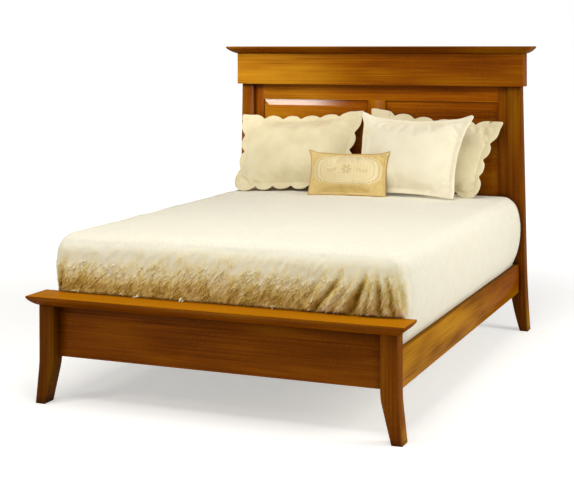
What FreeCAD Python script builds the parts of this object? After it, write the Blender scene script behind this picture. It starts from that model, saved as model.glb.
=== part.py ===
# Panel bed, queen size: a raised-panel headboard under a frieze and crown, a low footboard
# with a shelf cap, flared posts, bolt-free hook rails, slats with centre legs, and bedding.
# Millimetres. X is to the right seen from the foot, Y runs from foot to head, Z is up.
# The origin is on the floor, at the middle of the whole bed.
import FreeCAD, Part
import math
import os
import Sketcher

sizes = {
    # posts
    "postDepth": 70.0,          # foot and head posts, front to back
    "footPostWidth": 70.0,
    "headPostWidth": 70.0,
    "headExtra": 10.0,          # head posts stand this much further out than the foot posts
    "flareStart": 205.0,        # height at which a foot leg starts to flare
    "flareBend": 60.0,          # height of the bend at the top of the flare
    "footFlare": 19.0,          # how far a foot leg's outer edge runs out
    "footSole": 45.0,           # width of a foot leg on the floor
    "sweepStart": 400.0,        # height at which a head leg starts to sweep out
    "headLean": 18.0,           # how far a head post's outer edge leans out down to the sweep
    "headSweep": 19.0,          # and how much further the sweep takes it
    "headSole": 43.0,           # width of a head leg on the floor
    # footboard
    "capTop": 465.0,
    "capThickness": 43.0,
    "capLip": 9.0,              # square edge above the cove
    "capOverhang": 42.0,        # beyond the posts, at the front and the sides
    "capShelf": 8.0,            # flat behind the posts before the rear cove
    "coveRadius": 95.0,         # hollow under the cap and the crown
    "footPanelBottom": 200.0,
    "footPanelThickness": 25.0,
    # crown and frieze
    "crownTop": 1515.0,
    "crownThickness": 39.0,
    "crownLip": 8.0,
    "crownOverhang": 50.0,      # beyond the frieze
    "friezeHeight": 175.0,
    "friezeThickness": 25.0,
    "returnThickness": 20.0,    # side boards of the frieze, outside the posts
    "backerHeight": 60.0,       # strip that fills the space behind the frieze
    # frame and panels of the headboard
    "frameSetback": 20.0,       # from the front of the posts to the front of the frame
    "frameThickness": 24.0,
    "stileWidth": 55.0,
    "centreStileWidth": 101.0,
    "topRailHeight": 262.0,
    "openingBottom": 560.0,     # upper edge of the bottom rail
    "bottomRailHeight": 120.0,
    "grooveWidth": 8.0,
    "grooveDepth": 10.0,
    "panelGap": 1.5,            # room for a panel to swell in its grooves
    "panelFieldInset": 2.0,     # field of a panel behind the front of the frame
    "fieldStep": 1.5,           # small step round the field
    "bevelWidth": 34.0,
    "tenonLength": 35.0,
    "tenonShoulder": 15.0,
    "tenonThickness": 12.0,     # of the foot panel
    "jointGap": 0.2,            # glue and running clearance in joints
    # side rails
    "railBottom": 206.0,
    "railHeight": 149.0,
    "railThickness": 26.0,
    "ledgerHeight": 32.0,
    "ledgerWidth": 30.0,
    "ledgerRise": 7.0,          # above the lower edge of the rail
    "ledgerInset": 10.0,        # short of the posts at each end
    # rail fasteners
    "plateHeight": 120.0,
    "plateWidth": 16.0,
    "plateThickness": 3.0,
    "hookThickness": 5.0,
    "hookTab": 22.0,            # height of a hook where it leaves its plate
    "hookDrop": 9.0,            # how far its nose hangs behind the slotted plate
    "hookNose": 7.0,            # thickness of the nose along the rail
    "hookPitch": 56.0,          # between the two hooks of a plate
    "hookPlay": 0.5,
    # slats and centre legs
    "slatThickness": 19.0,
    "slatWidth": 70.0,
    "slatPlay": 2.0,            # at each end, beside the rails
    "slatEndGap": 135.0,        # from a post to the middle of the first and the last slat
    "legSide": 40.0,
    "legClear": 25.0,           # from the floor to the bottom of a leg
    "boltRadius": 4.0,
    "boltHeadRadius": 9.0,
    "boltHeadHeight": 4.0,
    "boltLength": 62.0,
    "insertRadius": 6.0,
    "insertLength": 22.0,
    "levellerBore": 70.0,       # depth of the bore in the leg
    "levellerRadius": 17.0,
    "levellerFoot": 8.0,        # thickness of its disc
    "levellerStem": 4.0,
    "levellerLength": 66.0,
    "stemPlay": 0.3,
    # mattress set
    "mattressWidth": 1524.0,
    "mattressLength": 2030.0,
    "boxSpringHeight": 216.0,
    "mattressHeight": 220.0,
    "mattressSideGap": 12.0,    # from the mattress to the rails
    "mattressHeadGap": 3.0,     # from the mattress to the frame of the headboard
    "mattressFootGap": 57.0,    # from the mattress to the foot posts
    "mattressCorner": 80.0,     # radius of the upright corners
    "mattressEdge": 26.0,       # bevel along the top edges
    # bedspread
    "spreadLoft": 15.0,         # thickness over the mattress
    "spreadBulge": 55.0,        # thickness of the folded sides at their fullest
    "spreadPlay": 0.3,          # from the mattress, the rails and the cap
    "spreadFoot": 26.0,         # thickness at the foot end
    "spreadTuck": 60.0,         # how deep the sides are tucked behind the rails
    "spreadRound": 95.0,        # width and height of the rounded long top edges
    "spreadCrown": 8.0,         # rise of the middle of the top over its edges
    "spreadFullRise": 20.0,     # fullest point of a side, above the middle of its height
    "spreadTumble": 8.0,        # how far a side leans in above its fullest point
    "spreadLowBow": 14.0,       # rise of the arcs that make a side and the top edge
    "spreadHighBow": 4.0,
    "spreadEdgeBow": 26.0,
    "spreadTopBow": 1.5,
    "spreadHeadSetback": 12.0,  # short of the head posts
    "foldRadius": 42.0,         # of a fold at the hem, round an axis behind the foot face
    "foldDepth": 26.0,          # from the foot face back to that axis
    "foldTop": 22.0,            # radius at its upper end, where it has run into the face
    "foldRise": 215.0,
    "foldPitch": 68.0,
    "foldInset": 48.0,          # of the outermost fold, from the side of the mattress
    "foldFade": 1.5,            # how much smaller each fold is than the one outside it
    # pillows; width and height run over the flange, a taper is the share by which the top is
    # wider and the bottom narrower than the middle, and the angles are in degrees
    "seamThickness": 8.0,
    "softClear": 0.3,           # from a pillow to the bedspread that it stands on
    "leanClear": 1.2,           # from a pillow to what it leans on
    "leftShamWidth": 715.0,
    "leftShamHeight": 505.0,
    "leftShamShift": 420.0,     # its middle, to the left of the bed's middle
    "leftShamTaper": 0.04,
    "leftShamLean": 34.0,       # from upright, back against the headboard
    "leftShamYaw": 1.5,         # turned about an upright axis
    "leftShamRoll": -3.0,       # its right side lower where positive
    "rightShamWidth": 710.0,
    "rightShamHeight": 452.0,
    "rightShamShift": 326.0,
    "rightShamTaper": 0.09,
    "rightShamLean": 24.0,
    "rightShamYaw": -1.0,
    "rightShamRoll": 5.0,
    "shamFlange": 34.0,
    "shamSag": 30.0,            # how far a side is drawn in at its middle
    "shamCrown": 72.0,          # swelling of the front
    "shamBack": 52.0,           # swelling of the back
    "lobeDepth": 13.0,          # of a scallop
    "frontPillowWidth": 602.0,
    "frontPillowHeight": 450.0,
    "frontPillowShift": 264.0,
    "frontPillowTaper": 0.05,
    "frontPillowLean": 22.0,
    "frontPillowYaw": -8.0,
    "frontPillowRoll": 0.0,
    "plainFlange": 30.0,
    "plainSag": 26.0,
    "plainCrown": 64.0,
    "plainBack": 42.0,
    "lumbarPillowWidth": 424.0,
    "lumbarPillowHeight": 232.0,
    "lumbarPillowShift": 48.0,  # to the left
    "lumbarPillowTaper": 0.0,
    "lumbarPillowLean": 18.0,
    "lumbarPillowYaw": 6.0,
    "lumbarPillowRoll": 0.0,
    "lumbarFlange": 12.0,
    "lumbarSag": 8.0,
    "lumbarCrown": 48.0,
    "lumbarBack": 28.0,
}

slatCount = 7
legSlats = (2, 3, 4)            # slats that stand on a centre leg, counted from the foot
foldCount = 7                   # folds on the foot end, gathered towards the right corner
sides = {"left": -1, "right": 1}

doc = FreeCAD.newDocument("PanelBed")
sheet = doc.addObject("Spreadsheet::Sheet", "Sizes")
for row, (name, number) in enumerate(sizes.items(), start=1):
    sheet.set(f"A{row}", name)
    sheet.set(f"B{row}", str(number))
    sheet.setAlias(f"B{row}", name)
doc.recompute()

nodes = []


class Size:
    """A number together with the expression on the sheet that gives it."""

    def __init__(self, value, text):
        self.value = float(value)
        self.text = text

    def __add__(self, other):
        other = asSize(other)
        return Size(self.value + other.value, f"({self.text} + {other.text})")

    def __sub__(self, other):
        other = asSize(other)
        return Size(self.value - other.value, f"({self.text} - {other.text})")

    def __mul__(self, other):
        other = asSize(other)
        return Size(self.value * other.value, f"({self.text} * {other.text})")

    def __truediv__(self, other):
        other = asSize(other)
        return Size(self.value / other.value, f"({self.text} / {other.text})")

    def __radd__(self, other):
        return asSize(other) + self

    def __rsub__(self, other):
        return asSize(other) - self

    def __rmul__(self, other):
        return asSize(other) * self

    def __neg__(self):
        return 0 - self

    def __float__(self):
        return self.value


def asSize(number):
    return number if isinstance(number, Size) else Size(number, str(float(number)))


def size(name):
    return Size(getattr(sheet, name), f"Sizes.{name}")


def bind(thing, prop, amount):
    """Give a property its value and the expression that keeps it."""
    amount = asSize(amount)
    if "." not in prop:
        setattr(thing, prop, amount.value)
    thing.setExpression(prop, amount.text)


# ---- places shared by the pieces ----
mattressHalf = size("mattressWidth") / 2
footHalf = mattressHalf + size("mattressSideGap") + size("railThickness")
headHalf = footHalf + size("headExtra")
postDepth = size("postDepth")
railLength = (size("mattressFootGap") + size("mattressLength") + size("mattressHeadGap")
              - size("frameSetback"))
footInner = footHalf - size("footPostWidth")
headInner = headHalf - size("headPostWidth")
bedLength = size("capOverhang") + 2 * postDepth + railLength
footFaceY = size("capOverhang") - bedLength / 2
railStartY = footFaceY + postDepth
headFaceY = railStartY + railLength
capBottom = size("capTop") - size("capThickness")
crownBottom = size("crownTop") - size("crownThickness")
friezeBottom = crownBottom - size("friezeHeight")
railInner = footHalf - size("railThickness")
railTop = size("railBottom") + size("railHeight")
ledgerBottom = size("railBottom") + size("ledgerRise")
ledgerTop = ledgerBottom + size("ledgerHeight")
slatTop = ledgerTop + size("slatThickness")
boxSpringTop = slatTop + size("boxSpringHeight")
mattressTop = boxSpringTop + size("mattressHeight")
plateBottom = size("railBottom") + (size("railHeight") - size("plateHeight")) / 2
plateMiddle = footHalf - size("railThickness") / 2
grooveFront = (size("frameThickness") - size("grooveWidth")) / 2   # from the frame's front
zero = asSize(0)


# ---- ways of making a piece ----
def newBody(label, y=zero):
    """An empty body whose own Y starts at y."""
    body = doc.addObject("PartDesign::Body", label)
    body.Label = label
    bind(body, "Placement.Base.y", y)
    nodes.append(body)
    return body


def originPlane(body, role):
    for feature in body.Origin.OriginFeatures:
        if feature.Role == role:
            return feature


def newSketch(body, plane, offset):
    sketch = body.newObject("Sketcher::SketchObject", "Outline")
    sketch.AttachmentSupport = (originPlane(body, plane), [""])
    sketch.MapMode = "FlatFace"
    bind(sketch, "AttachmentOffset.Base.z", offset)
    return sketch


def pin(sketch, geometry, point, x, y):
    """Hold one point of the sketch at a place given from the sheet."""
    for kind, amount in (("DistanceX", asSize(x)), ("DistanceY", asSize(y))):
        number = sketch.addConstraint(
            Sketcher.Constraint(kind, -1, 1, geometry, point, amount.value))
        sketch.setExpression(f"Constraints[{number}]", amount.text)


def outline(body, plane, corners, offset=zero, arcs=None):
    """Closed outline through the corners. arcs gives, for the corner that an arc leaves,
    its radius: positive bends to the left, negative to the right."""
    arcs = arcs or {}
    sketch = newSketch(body, plane, offset)
    spots = [FreeCAD.Vector(float(asSize(x)), float(asSize(y)), 0) for x, y in corners]
    starts = []
    for i, here in enumerate(spots):
        there = spots[(i + 1) % len(spots)]
        if i not in arcs:
            sketch.addGeometry(Part.LineSegment(here, there), False)
            starts.append((1, 2))
            continue
        radius = abs(arcs[i].value)
        turn = math.copysign(1, arcs[i].value)
        chord = there - here
        reach = math.sqrt(radius ** 2 - (chord.Length / 2) ** 2)
        side = FreeCAD.Vector(-chord.y, chord.x, 0).normalize() * turn * reach
        centre = (here + there) / 2 + side
        first, last = (here, there) if turn > 0 else (there, here)
        circle = Part.Circle(centre, FreeCAD.Vector(0, 0, 1), radius)
        angles = [math.atan2(p.y - centre.y, p.x - centre.x) for p in (first, last)]
        sketch.addGeometry(Part.ArcOfCircle(circle, angles[0], angles[1]), False)
        starts.append((1, 2) if turn > 0 else (2, 1))
    for i, (x, y) in enumerate(corners):
        before = (i - 1) % len(corners)
        sketch.addConstraint(Sketcher.Constraint(
            "Coincident", before, starts[before][1], i, starts[i][0]))
        pin(sketch, i, starts[i][0], x, y)
    for i, radius in arcs.items():
        span = radius if radius.value > 0 else -radius
        number = sketch.addConstraint(Sketcher.Constraint("Radius", i, span.value))
        sketch.setExpression(f"Constraints[{number}]", span.text)
    return sketch


def rounds(body, plane, centres, radius, offset=zero):
    """Circles of one radius, for bores and pilot holes."""
    sketch = newSketch(body, plane, offset)
    radius = asSize(radius)
    for i, (x, y) in enumerate(centres):
        spot = FreeCAD.Vector(float(asSize(x)), float(asSize(y)), 0)
        sketch.addGeometry(Part.Circle(spot, FreeCAD.Vector(0, 0, 1), radius.value), False)
        pin(sketch, i, 3, x, y)
        number = sketch.addConstraint(Sketcher.Constraint("Radius", i, radius.value))
        sketch.setExpression(f"Constraints[{number}]", radius.text)
    return sketch


def pad(body, sketch, length, flip=False):
    feature = body.newObject("PartDesign::Pad", "Pad")
    feature.Profile = sketch
    bind(feature, "Length", length)
    feature.Reversed = flip
    body.Tip = feature
    return feature


def pocket(body, sketch, length, flip=False, through=False):
    """Cut away from the sketch, against its normal, or along it when flipped."""
    feature = body.newObject("PartDesign::Pocket", "Pocket")
    feature.Profile = sketch
    if through:
        feature.Type = "ThroughAll"
        feature.Midplane = True
    else:
        bind(feature, "Length", length)
    feature.Reversed = flip
    body.Tip = feature
    return feature


def rectangle(xs, ys):
    return [(xs[0], ys[0]), (xs[1], ys[0]), (xs[1], ys[1]), (xs[0], ys[1])]


def addBlock(body, xs, ys, zs):
    return pad(body, outline(body, "XY_Plane", rectangle(xs, ys), zs[0]), zs[1] - zs[0])


def cutBlock(body, xs, ys, zs):
    return pocket(body, outline(body, "XY_Plane", rectangle(xs, ys), zs[0]), zs[1] - zs[0],
                  flip=True)


def mirrored(side, corners):
    return [(side * x, y) for x, y in corners]


def span(side, inner, outer):
    """A stretch of X on one side of the bed."""
    return (side * inner, side * outer)


def solidNode(label, shape, place=None):
    """A piece whose shape is worked out from the sheet in code."""
    piece = doc.addObject("Part::Feature", label)
    piece.Label = label
    piece.Shape = shape
    if place is not None:
        piece.Placement = place
    nodes.append(piece)
    return piece


# ---- rail fasteners: places that posts, rails and plates share ----
hookMiddle = plateBottom + size("plateHeight") / 2
hookBottoms = [hookMiddle - size("hookPitch") / 2 - size("hookTab") / 2,
               hookMiddle + size("hookPitch") / 2 - size("hookTab") / 2]
hookReach = size("plateThickness") + size("jointGap") + size("hookNose")


def plateSpan(side):
    return (side * plateMiddle - size("plateWidth") / 2,
            side * plateMiddle + size("plateWidth") / 2)


def cutPostFitting(body, side, faceY, inward):
    """Seat for a slotted plate, and hollows for the hooks behind it."""
    low, high = sorted((faceY, faceY + inward * size("plateThickness")), key=float)
    cutBlock(body, plateSpan(side), (low, high),
             (plateBottom, plateBottom + size("plateHeight")))
    behind = faceY + inward * size("plateThickness")
    depth = size("hookNose") + 2 * size("hookPlay") + size("jointGap")
    low, high = sorted((behind, behind + inward * depth), key=float)
    half = size("hookThickness") / 2 + size("hookPlay")
    for bottom in hookBottoms:
        cutBlock(body, (side * plateMiddle - half, side * plateMiddle + half), (low, high),
                 (bottom - size("hookDrop") - size("hookPlay"),
                  bottom + size("hookTab") + size("hookDrop") + size("hookPlay")))


# ---- posts ----
def footPost(label, side):
    body = newBody(label, footFaceY)
    bendFloor = size("flareStart") - size("flareBend")
    rise = size("flareStart") - size("flareBend") / 2
    soleOuter = footHalf + size("footFlare")
    soleInner = soleOuter - size("footSole")
    outerStep = size("footFlare") / rise * size("flareBend") / 2
    innerStep = (soleInner - footInner) / rise * size("flareBend") / 2
    bend = size("flareBend")
    outerRadius = (outerStep * outerStep + bend * bend) / (2 * outerStep)
    innerRadius = (innerStep * innerStep + bend * bend) / (2 * innerStep)
    corners = [(footInner, capBottom), (footHalf, capBottom), (footHalf, size("flareStart")),
               (footHalf + outerStep, bendFloor), (soleOuter, zero), (soleInner, zero),
               (footInner + innerStep, bendFloor), (footInner, size("flareStart"))]
    arcs = {2: side * outerRadius, 6: -side * innerRadius}
    pad(body, outline(body, "XZ_Plane", mirrored(side, corners), zero, arcs), postDepth,
        flip=True)
    mortiseFront = postDepth - (size("footPanelThickness") + size("tenonThickness")) / 2
    cutBlock(body, span(side, footInner, footInner + size("tenonLength") + 1),
             (mortiseFront - size("jointGap"),
              mortiseFront + size("tenonThickness") + size("jointGap")),
             (size("footPanelBottom") + size("tenonShoulder") - size("jointGap"),
              capBottom - size("tenonShoulder") + size("jointGap")))
    cutPostFitting(body, side, postDepth, -1)
    return body


def headPost(label, side):
    body = newBody(label, headFaceY)
    sweep = size("sweepStart")
    bodyHeight = friezeBottom - sweep
    sweepOuter = headHalf + size("headLean")
    soleOuter = sweepOuter + size("headSweep")
    soleInner = soleOuter - size("headSole")
    leanPart = size("headLean") / bodyHeight * sweep
    chordSquare = size("headSweep") * size("headSweep") + sweep * sweep
    outerRadius = chordSquare / (2 * (size("headSweep") - leanPart))
    innerStep = soleInner - headInner
    innerRadius = (innerStep * innerStep + sweep * sweep) / (2 * innerStep)
    corners = [(headInner, crownBottom), (headHalf, crownBottom), (headHalf, friezeBottom),
               (sweepOuter, sweep), (soleOuter, zero), (soleInner, zero),
               (headInner, sweep)]
    arcs = {3: side * outerRadius, 5: -side * innerRadius}
    pad(body, outline(body, "XZ_Plane", mirrored(side, corners), zero, arcs), postDepth,
        flip=True)
    tongue = size("frameSetback") + grooveFront
    cutBlock(body, span(side, headInner, headInner + size("grooveDepth")),
             (tongue, tongue + size("grooveWidth")),
             (size("openingBottom") - size("bottomRailHeight"), crownBottom))
    cutPostFitting(body, side, zero, 1)
    return body


for word, side in sides.items():
    footPost(f"foot_post_{word}", side)
    headPost(f"head_post_{word}", side)


# ---- footboard panel ----
def footPanel():
    body = newBody("foot_panel", footFaceY)
    front = postDepth - size("footPanelThickness")
    addBlock(body, (-footInner, footInner), (front, postDepth),
             (size("footPanelBottom"), capBottom))
    tenonFront = postDepth - (size("footPanelThickness") + size("tenonThickness")) / 2
    for side in sides.values():
        addBlock(body, span(side, footInner, footInner + size("tenonLength")),
                 (tenonFront, tenonFront + size("tenonThickness")),
                 (size("footPanelBottom") + size("tenonShoulder"),
                  capBottom - size("tenonShoulder")))
    return body


footPanel()


# ---- cap and crown: a lip over a hollow moulding that returns at the mitred corners ----
def cornice(label, y, top, thickness, lip, overhang, halfSeat, front, back, backCove):
    """halfSeat is half the width that the moulding sits on; front and back bound the
    seat in the body's own Y. backCove says whether the rear edge is moulded too."""
    body = newBody(label, y)
    bottom = top - thickness
    outer = halfSeat + overhang
    cove = size("coveRadius")
    face = [(-outer, top), (-outer, top - lip), (-halfSeat, bottom), (halfSeat, bottom),
            (outer, top - lip), (outer, top)]
    rear = back + overhang if backCove else back
    sketch = outline(body, "XZ_Plane", face, overhang - front, {1: cove, 3: cove})
    pad(body, sketch, rear - front + overhang, flip=True)
    margin = overhang
    below = [(front - overhang, top - lip), (front, bottom), (front, bottom - margin),
             (front - overhang - margin, bottom - margin), (front - overhang - margin, top - lip)]
    pocket(body, outline(body, "YZ_Plane", below, zero, {0: cove}), 0, through=True)
    if backCove:
        above = [(back, bottom), (rear, top - lip), (rear + margin, top - lip),
                 (rear + margin, bottom - margin), (back, bottom - margin)]
        pocket(body, outline(body, "YZ_Plane", above, zero, {0: cove}), 0, through=True)
    return body


cornice("foot_cap", footFaceY, size("capTop"), size("capThickness"), size("capLip"),
        size("capOverhang"), footHalf, zero, postDepth + size("capShelf"), True)
cornice("head_crown", headFaceY, size("crownTop"), size("crownThickness"),
        size("crownLip"), size("crownOverhang"), headHalf + size("returnThickness"),
        -size("friezeThickness"), postDepth, False)


# ---- frieze ----
def frieze():
    wide = headHalf + size("returnThickness")
    board = newBody("head_frieze", headFaceY)
    addBlock(board, (-wide, wide), (-size("friezeThickness"), zero), (friezeBottom, crownBottom))
    for word, side in sides.items():
        endBoard = newBody(f"frieze_return_{word}", headFaceY)
        addBlock(endBoard, span(side, headHalf, wide), (zero, postDepth),
                 (friezeBottom, crownBottom))
    strip = newBody("frieze_backer", headFaceY)
    addBlock(strip, (-headInner, headInner), (zero, size("frameSetback")),
             (friezeBottom, friezeBottom + size("backerHeight")))


frieze()


# ---- frame of the headboard; each body's Y starts at the frame's front ----
frameY = headFaceY + size("frameSetback")
stileInner = headInner - size("stileWidth")
centreHalf = size("centreStileWidth") / 2
frameBottom = size("openingBottom") - size("bottomRailHeight")
openTop = crownBottom - size("topRailHeight")
openBottom = size("openingBottom")
groove = (grooveFront, grooveFront + size("grooveWidth"))
tongueRange = (grooveFront + size("jointGap"), grooveFront + size("grooveWidth") - size("jointGap"))
gripLength = size("tenonLength") - size("jointGap")
railTenons = {"top": (openTop + size("tenonShoulder"), crownBottom - size("tenonShoulder")),
              "bottom": (frameBottom + size("tenonShoulder"), openBottom - size("tenonShoulder"))}


def sideStile(label, side):
    body = newBody(label, frameY)
    addBlock(body, span(side, stileInner, headInner), (zero, size("frameThickness")),
             (frameBottom, crownBottom))
    addBlock(body, span(side, headInner, headInner + size("grooveDepth") - size("panelGap")),
             tongueRange, (frameBottom, crownBottom))
    cutBlock(body, span(side, stileInner, stileInner + size("grooveDepth")), groove,
             (openBottom - size("tenonShoulder"), openTop + size("tenonShoulder")))
    for zs in railTenons.values():
        cutBlock(body, span(side, stileInner, stileInner + size("tenonLength")), groove, zs)
    return body


def crossRail(label, zs, tenon, grooveZs):
    """Top or bottom rail: tenons at the ends, a groove along the edge that faces the panels."""
    body = newBody(label, frameY)
    addBlock(body, (-stileInner, stileInner), (zero, size("frameThickness")), zs)
    for side in sides.values():
        addBlock(body, span(side, stileInner, stileInner + gripLength), tongueRange, tenon)
    cutBlock(body, (-stileInner, stileInner), groove, grooveZs)
    return body


def centreStile():
    body = newBody("head_centre_stile", frameY)
    addBlock(body, (-centreHalf, centreHalf), (zero, size("frameThickness")),
             (openBottom, openTop))
    stub = size("grooveDepth") - size("panelGap")
    inset = size("grooveDepth") + 2
    for zs in ((openBottom - stub, openBottom), (openTop, openTop + stub)):
        addBlock(body, (inset - centreHalf, centreHalf - inset), tongueRange, zs)
    for side in sides.values():
        cutBlock(body, span(side, centreHalf - size("grooveDepth"), centreHalf), groove,
                 (openBottom, openTop))
    return body


def raisedPanel(label, side):
    """A tongue that sits loose in the grooves, a bevel up from the frame, and a flat field."""
    body = newBody(label, frameY)
    into = size("grooveDepth") - size("panelGap")
    bevel = size("bevelWidth")
    tongueBack = tongueRange[1]
    tongueFront = tongueRange[0]
    fieldFront = size("panelFieldInset")
    bevelFront = fieldFront + size("fieldStep")
    pad(body, outline(body, "XZ_Plane",
                      rectangle(span(side, centreHalf - into, stileInner + into),
                                (openBottom - into, openTop + into)), -tongueBack),
        tongueBack - tongueFront)
    foot = outline(body, "XZ_Plane",
                   rectangle(span(side, centreHalf, stileInner), (openBottom, openTop)),
                   -tongueFront)
    fieldEdges = rectangle(span(side, centreHalf + bevel, stileInner - bevel),
                           (openBottom + bevel, openTop - bevel))
    head = outline(body, "XZ_Plane", fieldEdges, -bevelFront)
    slope = body.newObject("PartDesign::AdditiveLoft", "Bevel")
    slope.Profile = foot
    slope.Sections = [head]
    slope.Ruled = True
    body.Tip = slope
    pad(body, outline(body, "XZ_Plane", fieldEdges, -bevelFront), bevelFront - fieldFront)
    return body


for word, side in sides.items():
    sideStile(f"head_stile_{word}", side)
crossRail("head_top_rail", (openTop, crownBottom), railTenons["top"],
          (openTop, openTop + size("grooveDepth")))
crossRail("head_bottom_rail", (frameBottom, openBottom), railTenons["bottom"],
          (openBottom - size("grooveDepth"), openBottom))
centreStile()
for word, side in sides.items():
    raisedPanel(f"head_panel_{word}", side)


# ---- side rails and ledgers; each body's Y starts at the foot post's rear face ----
slatPitch = (railLength - 2 * size("slatEndGap")) / (slatCount - 1)
slatCentres = [size("slatEndGap") + i * slatPitch for i in range(slatCount)]
ledgerInner = railInner - size("ledgerWidth")


def sideRail(label, side):
    body = newBody(label, railStartY)
    addBlock(body, span(side, railInner, footHalf), (zero, railLength),
             (size("railBottom"), railTop))
    plate = size("plateThickness")
    for faceY, inward in ((zero, 1), (railLength, -1)):
        low, high = sorted((faceY, faceY + inward * plate), key=float)
        cutBlock(body, plateSpan(side), (low, high),
                 (plateBottom, plateBottom + size("plateHeight")))
    return body


def ledger(label, side):
    body = newBody(label, railStartY)
    addBlock(body, span(side, ledgerInner, railInner),
             (size("ledgerInset"), railLength - size("ledgerInset")), (ledgerBottom, ledgerTop))
    return body


for word, side in sides.items():
    sideRail(f"side_rail_{word}", side)
    ledger(f"rail_ledger_{word}", side)


# ---- rail fasteners: a hooked plate let into each rail end, a slotted one into each post ----
def hookPlate(label, side, y, outward):
    """outward is the way from the rail into the post."""
    body = newBody(label, y)
    plate = size("plateThickness")
    low, high = sorted((zero, -outward * plate), key=float)
    addBlock(body, plateSpan(side), (low, high),
             (plateBottom, plateBottom + size("plateHeight")))
    half = size("hookThickness") / 2
    xs = (side * plateMiddle - half, side * plateMiddle + half)
    noseStart = outward * (plate + size("jointGap"))
    for bottom in hookBottoms:
        low, high = sorted((zero, outward * hookReach), key=float)
        addBlock(body, xs, (low, high), (bottom, bottom + size("hookTab")))
        low, high = sorted((noseStart, outward * hookReach), key=float)
        addBlock(body, xs, (low, high), (bottom - size("hookDrop"), bottom))
    return body


def slotPlate(label, side, y, outward):
    """outward is the way from the rail into the post, so this plate's own depth."""
    body = newBody(label, y)
    plate = size("plateThickness")
    low, high = sorted((zero, outward * plate), key=float)
    addBlock(body, plateSpan(side), (low, high),
             (plateBottom, plateBottom + size("plateHeight")))
    half = size("hookThickness") / 2 + size("hookPlay")
    for bottom in hookBottoms:
        cutBlock(body, (side * plateMiddle - half, side * plateMiddle + half), (low, high),
                 (bottom, bottom + size("hookTab") + size("hookDrop") + size("hookPlay")))
    return body


fastenerEnds = {"foot": (railStartY, -1), "head": (headFaceY, 1)}
for word, side in sides.items():
    for end, (faceY, outward) in fastenerEnds.items():
        hookPlate(f"{end}_{word}_hook_plate", side, faceY, outward)
        slotPlate(f"{end}_{word}_slot_plate", side, faceY, outward)


# ---- slats, centre legs and their levelling feet ----
def slat(label, y, onLeg):
    body = newBody(label, railStartY + y)
    reach = railInner - size("slatPlay")
    half = size("slatWidth") / 2
    addBlock(body, (-reach, reach), (-half, half), (ledgerTop, slatTop))
    if onLeg:
        pocket(body, rounds(body, "XY_Plane", [(zero, zero)],
                            size("boltHeadRadius") + size("jointGap"), slatTop),
               size("boltHeadHeight") + size("jointGap"))
        pocket(body, rounds(body, "XY_Plane", [(zero, zero)],
                            size("boltRadius") + size("jointGap") / 2, slatTop),
               size("slatThickness"))
    return body


def centreLeg(label, y):
    body = newBody(label, railStartY + y)
    half = size("legSide") / 2
    addBlock(body, (-half, half), (-half, half), (size("legClear"), ledgerTop))
    boltDepth = size("boltLength") - size("slatThickness") + size("boltHeadHeight")
    pocket(body, rounds(body, "XY_Plane", [(zero, zero)],
                        size("boltRadius") + size("jointGap") / 2, ledgerTop), boltDepth)
    pocket(body, rounds(body, "XY_Plane", [(zero, zero)], size("insertRadius"),
                        size("legClear")), size("insertLength"), flip=True)
    pocket(body, rounds(body, "XY_Plane", [(zero, zero)],
                        size("levellerStem") + size("stemPlay"), size("legClear")),
           size("levellerBore"), flip=True)
    return body


def leveller(label, y):
    """A disc foot on a stem, turned in one piece."""
    body = newBody(label, railStartY + y)
    radius = size("levellerRadius")
    foot = size("levellerFoot")
    stem = size("levellerStem")
    profile = [(zero, zero), (radius, zero), (radius, foot), (stem, foot),
               (stem, size("levellerLength")), (zero, size("levellerLength"))]
    sketch = outline(body, "XZ_Plane", profile)
    turned = body.newObject("PartDesign::Revolution", "Turned")
    turned.Profile = sketch
    turned.ReferenceAxis = (sketch, ["V_Axis"])
    turned.Angle = 360
    body.Tip = turned
    return body


def boltShape():
    """Round-headed bolt on Z, the underside of its head at 0."""
    shank = Part.makeCylinder(float(size("boltRadius")), float(size("boltLength")),
                              FreeCAD.Vector(0, 0, 0), FreeCAD.Vector(0, 0, -1))
    head = Part.makeCylinder(float(size("boltHeadRadius")), float(size("boltHeadHeight")))
    return head.fuse(shank).removeSplitter()


def insertShape():
    """Threaded insert: a plain sleeve round the leveller's stem."""
    sleeve = Part.makeCylinder(float(size("insertRadius")), float(size("insertLength")))
    bore = Part.makeCylinder(float(size("levellerStem") + size("stemPlay")),
                             float(size("insertLength")))
    return sleeve.cut(bore)


def repeated(shape, spots):
    copies = []
    for spot in spots:
        copy = shape.copy()
        copy.translate(FreeCAD.Vector(*[float(c) for c in spot]))
        copies.append(copy)
    return Part.makeCompound(copies)


for i, y in enumerate(slatCentres):
    slat(f"slat_{i + 1}", y, i in legSlats)
for number, i in enumerate(legSlats, start=1):
    centreLeg(f"centre_leg_{number}", slatCentres[i])
    leveller(f"leveller_{number}", slatCentres[i])
legYs = [railStartY + slatCentres[i] for i in legSlats]
solidNode("leg_bolts", repeated(boltShape(), [(zero, y, slatTop - size("boltHeadHeight"))
                                              for y in legYs]))
solidNode("leg_inserts", repeated(insertShape(), [(zero, y, size("legClear")) for y in legYs]))


# ---- box spring and mattress ----
mattressFoot = railStartY + size("mattressFootGap")
mattressHead = mattressFoot + size("mattressLength")


def roundedBlock(label, bottom, height):
    """A block with round upright corners."""
    body = newBody(label, mattressFoot)
    half = mattressHalf
    length = size("mattressLength")
    corner = size("mattressCorner")
    ends = [(corner - half, zero), (half - corner, zero), (half, corner),
            (half, length - corner), (half - corner, length), (corner - half, length),
            (-half, length - corner), (-half, corner)]
    quarter = {i: corner for i in (1, 3, 5, 7)}
    pad(body, outline(body, "XY_Plane", ends, bottom, quarter), height)
    return body


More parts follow.
